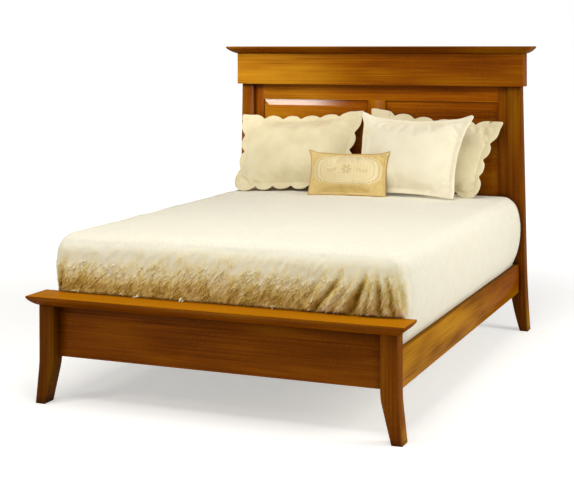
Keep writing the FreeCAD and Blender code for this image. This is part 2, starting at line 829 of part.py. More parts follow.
roundedBlock("box_spring", slatTop, size("boxSpringHeight"))
mattress = roundedBlock("mattress", boxSpringTop, size("mattressHeight"))
doc.recompute()
block = mattress.Tip
topFace = max(range(len(block.Shape.Faces)), key=lambda i: block.Shape.Faces[i].CenterOfMass.z)
softEdge = mattress.newObject("PartDesign::Chamfer", "TopEdge")
softEdge.Base = (block, [f"Face{topFace + 1}"])
bind(softEdge, "Size", size("mattressEdge"))
mattress.Tip = softEdge


# ---- bedspread: over the mattress, full at the sides, tucked behind the rails ----
def arcThrough(first, last, rise):
    """A flat arc from first to last, bulging by rise to the right of the way it runs."""
    way = last - first
    out = FreeCAD.Vector(0, 0, 0) + way.cross(FreeCAD.Vector(0, -1, 0)).normalize() * rise
    return Part.Arc(first, (first + last) / 2 + out, last).toShape()


def spreadSection(y, narrow, drop):
    """Outer outline of the bedspread across the bed at y, drawn in by narrow at each side
    and lowered by drop on top."""
    tuckX = float(railInner - size("spreadPlay")) - tuckFollow * narrow
    tuckZ = float(railTop - size("spreadTuck"))
    railZ = float(railTop + size("spreadPlay"))
    fullX = float(mattressHalf + size("spreadBulge")) - narrow
    upperX = fullX - float(size("spreadTumble"))
    topZ = float(mattressTop + size("spreadLoft")) - drop
    fullZ = (railZ + topZ) / 2 + float(size("spreadFullRise"))
    crownZ = topZ + float(size("spreadCrown")) - drop / 2
    rounding = float(size("spreadRound"))
    right = [(tuckX, tuckZ), (tuckX, railZ), (fullX, fullZ), (upperX, topZ - rounding),
             (upperX - rounding, topZ), (0, crownZ)]
    bows = [float(size(f"spread{part}Bow")) for part in ("Low", "High", "Edge", "Top")]
    points = [FreeCAD.Vector(x, y, z) for x, z in right]
    other = [FreeCAD.Vector(-p.x, p.y, p.z) for p in points]
    up = [arcThrough(points[i + 1], points[i + 2], bow) for i, bow in enumerate(bows)]
    down = [arcThrough(other[i + 2], other[i + 1], bow) for i, bow in enumerate(bows)]
    return Part.Wire([Part.makeLine(other[0], points[0]), Part.makeLine(points[0], points[1])]
                     + up + down[::-1] + [Part.makeLine(other[1], other[0])])


# sections along the bed: distance from the foot end or the head end, how far the sides are
# drawn in there and how far the top is lowered
footRounding = [(0, 46, 30), (12, 22, 12), (45, 6, 3), (130, 0, 0)]
headRounding = [(260, 0, 0), (0, 6, 4)]
middleShape = (4, -3)
tuckFollow = 0.4                # share of the drawing in that reaches the tuck


def addFolds(outer, footY, hemZ):
    """Folds that stand on the foot cap and run into the foot face higher up."""
    start = float(mattressHalf - size("foldInset"))
    axisY = footY + float(size("foldDepth"))
    for i in range(foldCount):
        foot = FreeCAD.Vector(start - i * float(size("foldPitch")), axisY, hemZ)
        radius = float(size("foldRadius") - i * size("foldFade"))
        outer = outer.fuse(Part.makeCone(radius, float(size("foldTop")),
                                         float(size("foldRise")), foot))
    return outer


def mattressHollow(low, headY):
    """What the mattress set takes out of the bedspread, open below and at the head."""
    play = float(size("spreadPlay"))
    half = float(mattressHalf) + play
    footY = float(mattressFoot) - play
    top = float(mattressTop) + play
    length = headY - footY + float(postDepth)
    hollow = Part.makeBox(2 * half, length, top - low, FreeCAD.Vector(-half, footY, low))
    upright = [edge for edge in hollow.Edges
               if edge.BoundBox.ZLength > 1 and edge.BoundBox.YMin < footY + 1]
    hollow = hollow.makeFillet(float(size("mattressCorner")) + play, upright)
    rim = [edge for edge in hollow.Edges
           if edge.BoundBox.ZMin > top - 1 and edge.BoundBox.YMin < headY]
    return hollow.makeChamfer(float(size("mattressEdge")), rim)


def bedspread():
    footY = float(mattressFoot - size("spreadFoot"))
    headY = float(headFaceY - size("spreadHeadSetback"))
    stations = [(footY + far, narrow, drop) for far, narrow, drop in footRounding]
    stations.append(((footY + headY) / 2, *middleShape))
    stations += [(headY - far, narrow, drop) for far, narrow, drop in headRounding]
    outer = Part.makeLoft([spreadSection(*station) for station in stations], True, True)
    play = float(size("spreadPlay"))
    hemZ = float(size("capTop")) + play
    outer = addFolds(outer, footY, hemZ)
    low = float(railTop - size("spreadTuck")) - 10
    wide = float(headHalf)
    capRear = float(footFaceY + postDepth + size("capShelf") + size("capOverhang"))
    shell = outer.cut(mattressHollow(low, headY))
    shell = shell.cut(Part.makeBox(2 * wide, capRear + play - footY + wide, hemZ - low,
                                   FreeCAD.Vector(-wide, footY - wide, low)))
    for x in (float(railInner) - play, -float(railInner) + play - wide):
        shell = shell.cut(Part.makeBox(wide, 2 * headY, float(railTop) + play - low,
                                       FreeCAD.Vector(x, -headY, low)))
    return solidNode("bedspread", shell.removeSplitter())


spread = bedspread()


# ---- pillows: a crowned body with drawn-in sides inside a flat or scalloped flange ----
sliceShares = (0, 0.06, 0.22, 0.5, 0.78, 0.94, 1)   # heights of a pillow's slices


def pillowBody(width, height, taper, sag, crown, back, seam):
    """Lofted through level slices of two arcs each. Its seam lies on Y 0, its middle on Z 0."""
    slices = []
    for share in sliceShares:
        full = math.sin(math.pi * share)
        half = (width / 2 - sag * full) * (1 + taper * (2 * share - 1))
        swell = full ** 0.6 if full > 0.01 else 0
        front = seam / 2 + crown * swell
        rear = seam / 2 + back * swell
        z = height * (share - 0.5)
        left = FreeCAD.Vector(-half, 0, z)
        right = FreeCAD.Vector(half, 0, z)
        slices.append(Part.Wire([
            Part.Arc(left, FreeCAD.Vector(0, -front, z), right).toShape(),
            Part.Arc(right, FreeCAD.Vector(0, rear, z), left).toShape()]))
    return Part.makeLoft(slices, True, True)


def flangePoints(width, height, taper, sag, seam, across, upright):
    """Points round a flange whose sides are drawn in by sag at their middles."""
    points = []
    for count, way in ((across, (1, 0)), (upright, (0, 1)), (across, (-1, 0)), (upright, (0, -1))):
        for i in range(count):
            along = 2 * i / count - 1
            inward = sag * (1 - along * along)
            if way[0]:
                x = way[0] * along * width / 2
                z = -way[0] * (height / 2 - inward)
            else:
                x = way[1] * (width / 2 - inward)
                z = way[1] * along * height / 2
            x *= 1 + taper * 2 * z / height
            points.append(FreeCAD.Vector(x, -seam / 2, z))
    return points


def flange(points, rise, seam):
    """A flat rim through the points, each stretch an arc that bulges outward by rise."""
    edges = [arcThrough(first, points[(i + 1) % len(points)], rise)
             for i, first in enumerate(points)]
    return Part.Face(Part.Wire(edges)).extrude(FreeCAD.Vector(0, seam, 0))


settled = 0.1                   # a pillow is seated when it could go no further than this
slowest = 0.35                  # least share of a move by which a gap is taken to close
approach = 5.0                  # kept back on the first move, before a pillow is set down again


def settle(piece, way, supports, clear, most=9):
    """Move a piece along way until it is no further than clear from one of its supports.

    The gap closes slower than the piece moves where they meet at a slant, so each step is
    lengthened by how fast the last one closed it. Between round forms that never goes too far.
    """
    target = Part.makeCompound(supports)
    room = piece.Shape.distToShape(target)[0] - float(clear)
    rate = 1.0
    for _ in range(most):
        if room < settled:
            break
        step = room / rate
        piece.Placement.Base += FreeCAD.Vector(*way) * step
        left = piece.Shape.distToShape(target)[0] - float(clear)
        if left < -settled:
            piece.Placement.Base -= FreeCAD.Vector(*way) * (step - room)
            left = piece.Shape.distToShape(target)[0] - float(clear)
            rate = 1.0
        else:
            rate = min(1.0, max(slowest, (room - left) / step))
        room = left


def pillow(label, kind, make, x, y, behind, lobes=None):
    """Stood on the bedspread at x and leaning back on what is behind it."""
    width, height, taper, lean, yaw, roll = [
        float(size(f"{kind}{part}"))
        for part in ("Width", "Height", "Taper", "Lean", "Yaw", "Roll")]
    rim, sag, crown, back = [float(size(f"{make}{part}"))
                             for part in ("Flange", "Sag", "Crown", "Back")]
    seam = float(size("seamThickness"))
    body = pillowBody(width - 2 * rim, height - 2 * rim, taper, sag, crown, back, seam)
    if lobes:
        depth = float(size("lobeDepth"))
        points = flangePoints(width - 2 * depth, height - 2 * depth, taper, sag, seam, *lobes)
        edge = flange(points, depth, seam)
    else:
        edge = flange(flangePoints(width, height, taper, 0, seam, 1, 1), -sag, seam)
    turn = (FreeCAD.Rotation(FreeCAD.Vector(0, 0, 1), yaw)
            * FreeCAD.Rotation(FreeCAD.Vector(1, 0, 0), -lean)
            * FreeCAD.Rotation(FreeCAD.Vector(0, 1, 0), roll))
    piece = solidNode(label, body.fuse(edge).removeSplitter())
    above = float(mattressTop) + height
    piece.Placement = FreeCAD.Placement(FreeCAD.Vector(float(x), float(y), above), turn)
    settle(piece, (0, 0, -1), spreadTop, size("softClear"))
    settle(piece, (0, 1, 0), behind, size("leanClear") + approach)
    piece.Placement.Base += FreeCAD.Vector(0, 0, 2 * approach)
    settle(piece, (0, 0, -1), spreadTop, size("softClear"))
    settle(piece, (0, 1, 0), behind, size("leanClear"))
    return piece.Shape


startY = mattressHead - size("leftShamHeight")
spreadTop = [face for face in spread.Shape.Faces
             if face.BoundBox.ZMax > float(mattressTop) and face.BoundBox.YMax > float(startY)]
headFront = [piece.Shape for piece in nodes if piece.Label.startswith("head_")
             and "plate" not in piece.Label and "crown" not in piece.Label]
shamLobes = (6, 4)              # scallops along a long and along a short side
leftSham = pillow("sham_left", "leftSham", "sham", -size("leftShamShift"), startY,
                  headFront, shamLobes)
rightSham = pillow("sham_right", "rightSham", "sham", size("rightShamShift"), startY,
                   headFront, shamLobes)
frontPillow = pillow("front_pillow", "frontPillow", "plain", size("frontPillowShift"),
                     startY - size("frontPillowHeight") / 2, [rightSham])
pillow("lumbar_pillow", "lumbarPillow", "lumbar", -size("lumbarPillowShift"),
       startY - size("frontPillowHeight"), [leftSham, frontPillow])


# ---- check and write ----
doc.recompute()
faults = []
for thing in doc.Objects:
    if "Invalid" in thing.State or "Error" in thing.State:
        faults.append(f"{thing.Label}: {thing.State}")
    if thing.TypeId == "PartDesign::Pocket":
        if thing.BaseFeature.Shape.Volume - thing.Shape.Volume < 1:
            faults.append(f"{thing.Label} in {thing.getParentGeoFeatureGroup().Label} cuts nothing")
for piece in nodes:
    if piece.Shape.isNull() or not piece.Shape.isValid():
        faults.append(f"{piece.Label}: shape is null or not valid")
if faults:
    raise RuntimeError("; ".join(faults))
os.makedirs("parts", exist_ok=True)
for piece in nodes:
    piece.Shape.exportStep(f"parts/{piece.Label}.step")
print(f"{len(nodes)} nodes, {sum(len(piece.Shape.Solids) for piece in nodes)} solids")
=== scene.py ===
import math

import bpy
import numpy as np
from mathutils import Matrix, Vector, noise
from mathutils.bvhtree import BVHTree


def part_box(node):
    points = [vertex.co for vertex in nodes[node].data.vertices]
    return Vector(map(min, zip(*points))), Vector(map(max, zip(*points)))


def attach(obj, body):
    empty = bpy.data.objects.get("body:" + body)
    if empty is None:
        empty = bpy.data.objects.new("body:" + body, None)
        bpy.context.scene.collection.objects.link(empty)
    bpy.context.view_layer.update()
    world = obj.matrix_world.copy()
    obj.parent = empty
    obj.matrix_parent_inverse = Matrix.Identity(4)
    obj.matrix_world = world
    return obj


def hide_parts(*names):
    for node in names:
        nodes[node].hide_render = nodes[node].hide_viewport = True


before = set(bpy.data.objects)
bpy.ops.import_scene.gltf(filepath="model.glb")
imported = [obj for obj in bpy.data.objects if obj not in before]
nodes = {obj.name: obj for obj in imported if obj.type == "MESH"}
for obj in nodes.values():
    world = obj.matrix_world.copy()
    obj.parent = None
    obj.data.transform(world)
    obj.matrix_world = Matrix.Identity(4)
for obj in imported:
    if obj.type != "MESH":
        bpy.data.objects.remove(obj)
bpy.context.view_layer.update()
print("frame loaded,", len(nodes), "nodes")


# the photograph's viewpoint
camera = {
    "place": (2.309, -5.8546, 1.551),
    "yaw": 22.34,        # degrees to the left of +Y
    "pitch": -0.27,
    "roll": 0.15,
    "lens": 82.16,       # on a 36 mm sensor
    "shiftDown": 0.3418,
}


def makeCamera(look):
    yaw, pitch, roll = (math.radians(look[part]) for part in ("yaw", "pitch", "roll"))
    ahead = Vector((-math.sin(yaw) * math.cos(pitch), math.cos(yaw) * math.cos(pitch),
                    math.sin(pitch)))
    right = ahead.cross(Vector((0, 0, 1))).normalized()
    up = right.cross(ahead)
    turned = right * math.cos(roll) - up * math.sin(roll)
    raised = right * math.sin(roll) + up * math.cos(roll)
    data = bpy.data.cameras.new("photoCamera")
    data.lens = look["lens"]
    data.sensor_width = 36
    data.shift_y = -look["shiftDown"]
    data.clip_start, data.clip_end = 0.1, 60
    eye = bpy.data.objects.new("photoCamera", data)
    bpy.context.scene.collection.objects.link(eye)
    eye.matrix_world = Matrix.Translation(look["place"]) @ Matrix(
        (turned, raised, -ahead)).transposed().to_4x4()
    bpy.context.scene.camera = eye


# each softbox: where it stands, what it points at, its width and height, its power and tint
softboxes = {
    "overhead": {"at": (0.1, -1.7, 3.35), "to": (0.05, -0.5, 0.5), "size": (2.6, 2.4),
                 "power": 82, "tint": (1.0, 0.98, 0.94)},
    "rightSide": {"at": (4.0, 0.5, 2.0), "to": (0.7, 0.0, 0.5), "size": (1.8, 1.8),
                  "power": 87, "tint": (1.0, 0.98, 0.94)},
    "frontLeft": {"at": (-2.38, -3.3, 2.23), "to": (-2.38, 1.0, 1.2), "size": (0.70, 0.70),
                  "power": 28, "tint": (1.0, 0.97, 0.92)},
    "headLeft": {"at": (-1.9, -0.6, 2.5), "to": (-0.95, 1.05, 1.60), "size": (0.6, 0.6),
                 "power": 3.0, "tint": (1.0, 0.96, 0.88), "spread": 42},
}


def makeSoftboxes(boxes):
    for name, box in boxes.items():
        data = bpy.data.lights.new(name, "AREA")
        data.shape = "RECTANGLE"
        data.size, data.size_y = box["size"]
        data.energy = box["power"]
        data.color = box["tint"]
        data.spread = math.radians(box.get("spread", 180))
        lamp = bpy.data.objects.new(name, data)
        bpy.context.scene.collection.objects.link(lamp)
        away = Vector(box["at"]) - Vector(box["to"])
        lamp.matrix_world = Matrix.Translation(box["at"]) @ away.to_track_quat(
            "Z", "Y").to_matrix().to_4x4()


def addNode(tree, kind, settings=None, inputs=None):
    # an input is a number, a colour or the socket of another node
    made = tree.nodes.new(kind)
    for key, value in (settings or {}).items():
        setattr(made, key, value)
    for key, value in (inputs or {}).items():
        value = getattr(value, "socket", value)
        if isinstance(value, bpy.types.NodeSocket):
            tree.links.new(value, made.inputs[key])
        else:
            made.inputs[key].default_value = value
    return made


sky = {"strength": 0.22, "tint": (1.0, 0.98, 0.95)}


def makeWorld(strength, tint):
    # soft light for the bed, and plain white for the camera and in reflections
    world = bpy.data.worlds.new("studio")
    bpy.context.scene.world = world
    world.use_nodes = True
    tree = world.node_tree
    tree.nodes.clear()
    path = addNode(tree, "ShaderNodeLightPath").outputs
    seen = path["Is Camera Ray"]
    for ray in ("Is Glossy Ray", "Is Transmission Ray"):
        seen = addNode(tree, "ShaderNodeMath", {"operation": "MAXIMUM"},
                       {0: seen, 1: path[ray]}).outputs[0]
    soft, white = (addNode(tree, "ShaderNodeBackground", None,
                           {"Color": (*colour, 1), "Strength": power}).outputs[0]
                   for colour, power in ((tint, strength), ((1, 1, 1), 1)))
    mixed = addNode(tree, "ShaderNodeMixShader", None, {0: seen, 1: soft, 2: white})
    addNode(tree, "ShaderNodeOutputWorld", None, {0: mixed.outputs[0]})


makeCamera(camera)
makeSoftboxes(softboxes)
makeWorld(**sky)
bpy.context.scene.view_settings.view_transform = "Standard"
print("camera and lamps placed")


class Signal:
    # a socket of a material's tree, so that shader sums are written as plain expressions
    def __init__(self, finish, socket):
        self.finish = finish
        self.socket = socket

    def math(self, operation, *values):
        return self.finish.node("ShaderNodeMath", {"operation": operation},
                                dict(enumerate(values)))

    def __rsub__(self, other):
        return self.math("SUBTRACT", other, self)

    # 0 below low, 1 above high, smooth between them
    def step(self, low, high):
        return self.finish.node("ShaderNodeMapRange", {"interpolation_type": "SMOOTHSTEP"},
                                {"Value": self, "From Min": low, "From Max": high})

    # 1 between low and high, with edges of that softness
    def band(self, low, high, soft):
        return self.step(low, low + soft) * (1 - self.step(high, high + soft))


signalSums = {
    "__add__": "ADD", "__radd__": "ADD", "__sub__": "SUBTRACT", "__mul__": "MULTIPLY",
    "__rmul__": "MULTIPLY", "__truediv__": "DIVIDE", "__pow__": "POWER",
    "absolute": "ABSOLUTE", "sine": "SINE", "cosine": "COSINE", "angleTo": "ARCTAN2",
    "higher": "MAXIMUM",
}


def addSum(name, operation):
    setattr(Signal, name, lambda self, *others: self.math(operation, self, *others))


for name, operation in signalSums.items():
    addSum(name, operation)


class Finish:
    # a material whose constant values go straight to the shader's sockets
    def __init__(self, name, constants):
        self.material = bpy.data.materials.new(name)
        self.material.use_nodes = True
        self.tree = self.material.node_tree
        self.tree.nodes.clear()
        self.skin = addNode(self.tree, "ShaderNodeBsdfPrincipled", None, constants)
        addNode(self.tree, "ShaderNodeOutputMaterial", None, {0: self.skin.outputs[0]})

    def node(self, kind, settings=None, inputs=None, output=0):
        return Signal(self, addNode(self.tree, kind, settings, inputs).outputs[output])

    def ramp(self, share, stops):
        made = addNode(self.tree, "ShaderNodeValToRGB", None, {"Fac": share})
        elements = made.color_ramp.elements
        while len(elements) < len(stops):
            elements.new(1)
        for element, (position, colour) in zip(elements, stops):
            element.position = position
            element.color = (*colour, 1)
        return Signal(self, made.outputs[0])

    def feed(self, socket, signal):
        self.tree.links.new(signal.socket, self.skin.inputs[socket])

    def surface(self, colour, rough, height, strength, distance):
        self.feed("Base Color", colour)
        self.feed("Roughness", rough)
        self.feed("Normal", self.node("ShaderNodeBump", None,
                                      {"Height": height, "Strength": strength,
                                       "Distance": distance}))

    def objectPlace(self, *turn, **named):
        return self.turned(self.node("ShaderNodeTexCoord", output="Object"), *turn, **named)

    def clothPlace(self, *turn, **named):
        return self.turned(self.node("ShaderNodeUVMap", {"uv_map": "cloth"}), *turn, **named)

    def turned(self, place, location=(0, 0, 0), rotation=(0, 0, 0), scale=(1, 1, 1)):
        return self.node("ShaderNodeMapping", None,
                         {"Vector": place, "Location": location, "Scale": scale,
                          "Rotation": [math.radians(angle) for angle in rotation]})

    def mottle(self, place, scale, detail=2.0, roughness=0.5, distortion=0.0):
        return self.node("ShaderNodeTexNoise", None,
                         {"Vector": place, "Scale": scale, "Detail": detail,
                          "Roughness": roughness, "Distortion": distortion})

    def between(self, share, first, second):
        first, second = (colour if isinstance(colour, Signal) else (*colour, 1)
                         for colour in (first, second))
        return self.node("ShaderNodeMix", {"data_type": "RGBA"},
                         {0: share, 6: first, 7: second}, 2)

    def parts(self, vector):
        split = addNode(self.tree, "ShaderNodeSeparateXYZ", None, {0: vector})
        return [Signal(self, socket) for socket in split.outputs]


oak = {
    "dark": (0.105, 0.020, 0.0004),
    "mid": (0.280, 0.070, 0.0012),
    "light": (0.460, 0.178, 0.0030),
    "fleck": (0.520, 0.235, 0.0070),
    "lineScale": 150,        # growth lines, per metre across the grain
    "gold": (0.560, 0.270, 0.014),
    "fleckShare": 0.14,
    "polish": 0.05,          # weight of the satin top coat
    "slopePolish": 0.95,     # and on the bevels that were rubbed bright
    "bleach": 0.35,          # how much lighter the tops are, as painted light
    "cornerDepth": 0.048,    # reach of the painted shade in corners, in metres
    # how dark the painted shade in corners is
    "cornerStain": 0.7,
    "poreShade": 0.45,
    "edgeReach": 0.004,      # how far from an edge the finish is worn, in metres
    "edgeWear": 0.3,
}
# how a point is turned so that the grain runs along the first axis
grainTurns = {"x": (0, 0, 0), "y": (0, 0, -90), "z": (0, 90, 0)}


def oakFinish(name, grain, board, tone, paintedGlow=None, rubbed=None, bleach=oak["bleach"]):
    finish = Finish(name, {"Coat Roughness": 0.13, "Specular IOR Level": 0.0,
                           "Coat Weight": oak["polish"]})
    start = (board * 1.37, board * 0.53, board * 0.71)
    dark, mid, light, fleck = ([c * tone for c in oak[part]]
                               for part in ("dark", "mid", "light", "fleck"))

    def along(*scale):
        # the piece is turned first, so that the scale counts along and across its grain
        return finish.turned(finish.objectPlace(start, grainTurns[grain]), scale=scale)

    figure = finish.mottle(along(0.9, 5, 5), 1.6, 2)
    lines = finish.mottle(along(0.012, 1, 1), oak["lineScale"], 4, 0.62, 0.25)
    pores = finish.mottle(along(0.035, 1, 1), 900, 2, 0.6)
    rays = finish.mottle(along(3.0, 0.8, 0.8), 60, 2.5, 0.6, 0.9)
    patches = finish.mottle(along(1, 1.5, 1.5), 6, 2)
    streak = (lines - 0.5) * 0.70 + (figure - 0.5) * 0.9 + 0.5
    colour = finish.ramp(streak, [(0.18, dark), (0.50, mid), (0.82, light)])
    flecks = rays.step(0.56, 0.68) * patches.step(0.35, 0.62) * oak["fleckShare"]
    colour = finish.between(flecks, colour, fleck)
    hollow = (1 - pores.step(0.30, 0.42)) * oak["poreShade"]
    colour = finish.between(hollow, colour, [c * 0.75 for c in dark])
    # painted light: a golden glow where more light falls, fading out across the board
    if paintedGlow:
        axis, side, reach, amount = paintedGlow
        across = finish.parts(finish.objectPlace())[axis]
        golden = (1 - across.step(side, side + reach)) * amount
        golden = golden * (figure * 0.6 + lines * 0.4).step(0.25, 0.65)
        colour = finish.between(golden, colour, oak["gold"])
    soft = finish.node("ShaderNodeBevel", {"samples": 4}, {"Radius": oak["edgeReach"]})
    flat = finish.node("ShaderNodeNewGeometry", output="Normal")
    same = finish.node("ShaderNodeVectorMath", {"operation": "DOT_PRODUCT"},
                       {0: soft, 1: flat}, output="Value")
    worn = (1 - same).step(0.015, 0.16) * oak["edgeWear"]
    colour = finish.between(worn, colour, light)
    # painted light: the up-facing tops are drawn lighter
    upward = finish.parts(finish.node("ShaderNodeNewGeometry", output="True Normal"))[2]
    colour = finish.between(upward.step(0.7, 0.95) * bleach, colour, [c * 1.5 for c in light])
    # painted shade: darker in corners and recesses, where less light reaches
    corner = finish.node("ShaderNodeAmbientOcclusion", {"samples": 6},
                         {"Distance": oak["cornerDepth"]}, output="AO")
    shadedCorners = (1 - corner.step(0.30, 0.95)) * oak["cornerStain"]
    colour = finish.between(shadedCorners, colour, [c * 0.4 for c in dark])
    if rubbed:
        slope = upward.step(0.06, 0.13) * (1 - upward.step(0.5, 0.9))
        slope = slope * (1 - finish.parts(finish.objectPlace())[0].step(*rubbed))
        finish.feed("Coat Weight", slope * (oak["slopePolish"] - oak["polish"])
                    + oak["polish"])
    finish.surface(colour, 0.36 + (lines - 0.5) * 0.16 - flecks * 0.10,
                   lines * 0.5 + pores.step(0.25, 0.45) * 0.5, 0.25, 0.0004)
    return finish


def poplarFinish(name, grain, board):
    finish = Finish(name, {"Specular IOR Level": 0.35})
    start = (board * 0.9, board * 0.4, 0)
    place = finish.turned(finish.objectPlace(start, grainTurns[grain]), scale=(0.02, 1, 1))
    lines = finish.mottle(place, 110, 4, 0.6, 0.3)
    broad = finish.mottle(place, 18, 2)
    colour = finish.ramp(lines * 0.6 + broad * 0.4, [
        (0.2, (0.40, 0.27, 0.12)), (0.55, (0.62, 0.47, 0.26)), (0.85, (0.72, 0.60, 0.38))])
    finish.surface(colour, 0.62 + (lines - 0.5) * 0.2, lines, 0.3, 0.0005)
    return finish


def metalFinish(name, colour, rough):
    finish = Finish(name, {"Metallic": 1.0})
    place = finish.objectPlace()
    dull = finish.mottle(place, 160, 3)
    scratch = finish.mottle(finish.turned(place, rotation=(0, 0, 20), scale=(1, 9, 1)), 300, 2)
    finish.surface(finish.between(dull, [c * 0.82 for c in colour], colour),
                   rough + (dull - 0.5) * 0.2 + (scratch - 0.5) * 0.1, scratch, 0.1, 0.0002)
    return finish


threadPitch = {"cotton": 0.0011, "lumbar": 0.0012}


def cottonFinish(name, light, deep):
    # plain weave on the cloth's own map, with broad soft unevenness
    finish = Finish(name, {"Sheen Weight": 0.25, "Sheen Roughness": 0.45,
                           "Specular IOR Level": 0.25})
    cloth = finish.clothPlace()
    across, up, _ = finish.parts(cloth)
    turn = 2 * math.pi / threadPitch["cotton"]
    weave = (across * turn).sine() * (up * turn).sine() * 0.5 + 0.5
    slub = finish.mottle(finish.clothPlace(scale=(1, 8, 1)), 90, 3)
    broad = finish.mottle(cloth, 9, 3)
    shade = broad * 0.55 + slub * 0.25 + weave * 0.2
    finish.surface(finish.between(shade.step(0.25, 0.7), deep, light), 0.86 - slub * 0.12,
                   weave * 0.6 + slub * 0.4, 0.35, 0.0004)
    return finish


print("finishes ready")


# grain axis, board number and tone of each oak piece
oakBoards = {
    "foot_post_left": ("z", 1, 0.45), "foot_post_right": ("z", 2, 0.75),
    "foot_cap": ("x", 3, 0.80), "foot_panel": ("x", 4, 0.9),
    "head_post_left": ("z", 5, 0.68), "head_post_right": ("z", 6, 0.55),
    "head_frieze": ("x", 7, 0.82), "frieze_backer": ("x", 8, 0.9),
    "frieze_return_left": ("z", 9, 1.0), "frieze_return_right": ("z", 10, 0.9),
    "head_crown": ("x", 11, 0.65), "head_top_rail": ("x", 12, 1.1),
    "head_bottom_rail": ("x", 13, 0.95), "head_centre_stile": ("z", 14, 1.0),
    "head_stile_left": ("z", 15, 0.95), "head_stile_right": ("z", 16, 0.75),
    "head_panel_left": ("x", 17, 1.1), "head_panel_right": ("x", 18, 1.0),
    "side_rail_left": ("y", 19, 1.0), "side_rail_right": ("y", 20, 0.8),
}
# boards with a painted golden glow where more light falls: across which axis, where it starts to
# fade out, over what width (negative where the gold lies beyond that place), and its share
paintedGlow = {"head_frieze": (0, -0.55, 0.50, 0.52), "head_top_rail": (0, -0.50, 0.5, 0.45),
           "head_panel_left": (0, -0.50, 0.45, 0.3), "side_rail_right": (1, -0.4, 1.3, 0.8),
           "head_post_right": (0, 0.846, -0.012, 0.6),
           "foot_post_right": (0, 0.818, -0.010, 0.6)}
# boards whose bevels were rubbed bright, and where along x that fades out
rubbedBevels = {"head_panel_left": (-0.36, -0.12)}
# boards with their own share of painted light on the tops
litTops = {"foot_cap": 0.6}
easedEdges = {"width": 0.0014, "segments": 2, "angle": 32}
# boards shaded flat, so that their shallow bevels keep an even gloss
flatShaded = ("head_panel_left", "head_panel_right", "head_frieze")


def easeEdges(piece, width=easedEdges["width"], smooth=True):
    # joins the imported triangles, then rounds every sharp edge a little
    for polygon in piece.data.polygons:
        polygon.use_smooth = smooth
    weld = piece.modifiers.new("weld", "WELD")
    weld.merge_threshold = 0.00005
    plain = piece.modifiers.new("plain", "DECIMATE")
    plain.decimate_type = "DISSOLVE"
    plain.angle_limit = math.radians(0.4)
    ease = piece.modifiers.new("ease", "BEVEL")
    ease.width = width
    ease.segments = easedEdges["segments"]
    ease.limit_method = "ANGLE"
    ease.angle_limit = math.radians(easedEdges["angle"])
    ease.harden_normals = True


def dress(piece, finish):
    piece.data.materials.clear()
    piece.data.materials.append(finish.material)


for name, (grain, board, tone) in oakBoards.items():
    dress(nodes[name], oakFinish("oak" + name.title().replace("_", ""), grain, board, tone,
                                 paintedGlow.get(name), rubbedBevels.get(name),
                                 litTops.get(name, oak["bleach"])))
    easeEdges(nodes[name], smooth=name not in flatShaded)
poplarBoards = {f"slat_{i}": "x" for i in range(1, 8)}
poplarBoards.update({"rail_ledger_left": "y", "rail_ledger_right": "y"})
poplarBoards.update({f"centre_leg_{i}": "z" for i in range(1, 4)})
for board, (name, grain) in enumerate(poplarBoards.items()):
    dress(nodes[name], poplarFinish("poplar" + name.title().replace("_", ""), grain, board))
    easeEdges(nodes[name], 0.0010)
zinc = metalFinish("zincSteel", (0.60, 0.61, 0.60), 0.38)
brass = metalFinish("insertBrass", (0.66, 0.47, 0.20), 0.36)
for name in nodes:
    if "plate" in name or name.startswith("leveller") or name == "leg_bolts":
        dress(nodes[name], zinc)
        easeEdges(nodes[name], 0.0004)
dress(nodes["leg_inserts"], brass)
easeEdges(nodes["leg_inserts"], 0.0003)
print("wood and hardware dressed")


def addPiece(name, mesh):
    piece = bpy.data.objects.new(name, mesh)
    bpy.context.scene.collection.objects.link(piece)
    return piece


def makePiece(name, points, faces, finish, smooth=True):
    piece = pointsOnly(name, points, (), faces)
    piece.data.polygons.foreach_set("use_smooth", [smooth] * len(piece.data.polygons))
    piece.data.materials.append(finish.material)
    return piece


def pointsOnly(name, points, edges=(), faces=()):
    mesh = bpy.data.meshes.new(name)
    mesh.from_pydata([tuple(map(float, p)) for p in points], edges, faces)
    mesh.update()
    return addPiece(name, mesh)


def gridFaces(index):
    # quads over a table of point numbers, turned so that (row, column) runs anticlockwise
    faces = []
    for row in range(len(index) - 1):
        for column in range(len(index[0]) - 1):
            corners = [index[row][column], index[row][column + 1],
                       index[row + 1][column + 1], index[row + 1][column]]
            kept = [c for i, c in enumerate(corners) if c != corners[i - 1]]
            if len(kept) > 2:
                faces.append(kept)
    return faces


def pointNormals(points, faces):
    normals = np.zeros_like(points)
    for size in (3, 4):
        some = np.array([face for face in faces if len(face) == size])
        if len(some):
            corners = points[some]
            cross = np.cross(corners[:, 1] - corners[:, 0], corners[:, -1] - corners[:, 0])
            for k in range(size):
                np.add.at(normals, some[:, k], cross)
    return normals / np.maximum(np.linalg.norm(normals, axis=1, keepdims=True), 1e-12)


def lumps(points, size, seed, detail=2):
    # soft noise from -1 to 1 at each point, with lumps of about that size in metres
    size = np.asarray(size, float) * np.ones(3)
    shift = Vector((seed * 7.31, seed * 3.17, seed * 5.77))
    return np.array([noise.fractal(Vector(p) + shift, 0.8, 2.1, detail)
                     for p in np.asarray(points) / size])


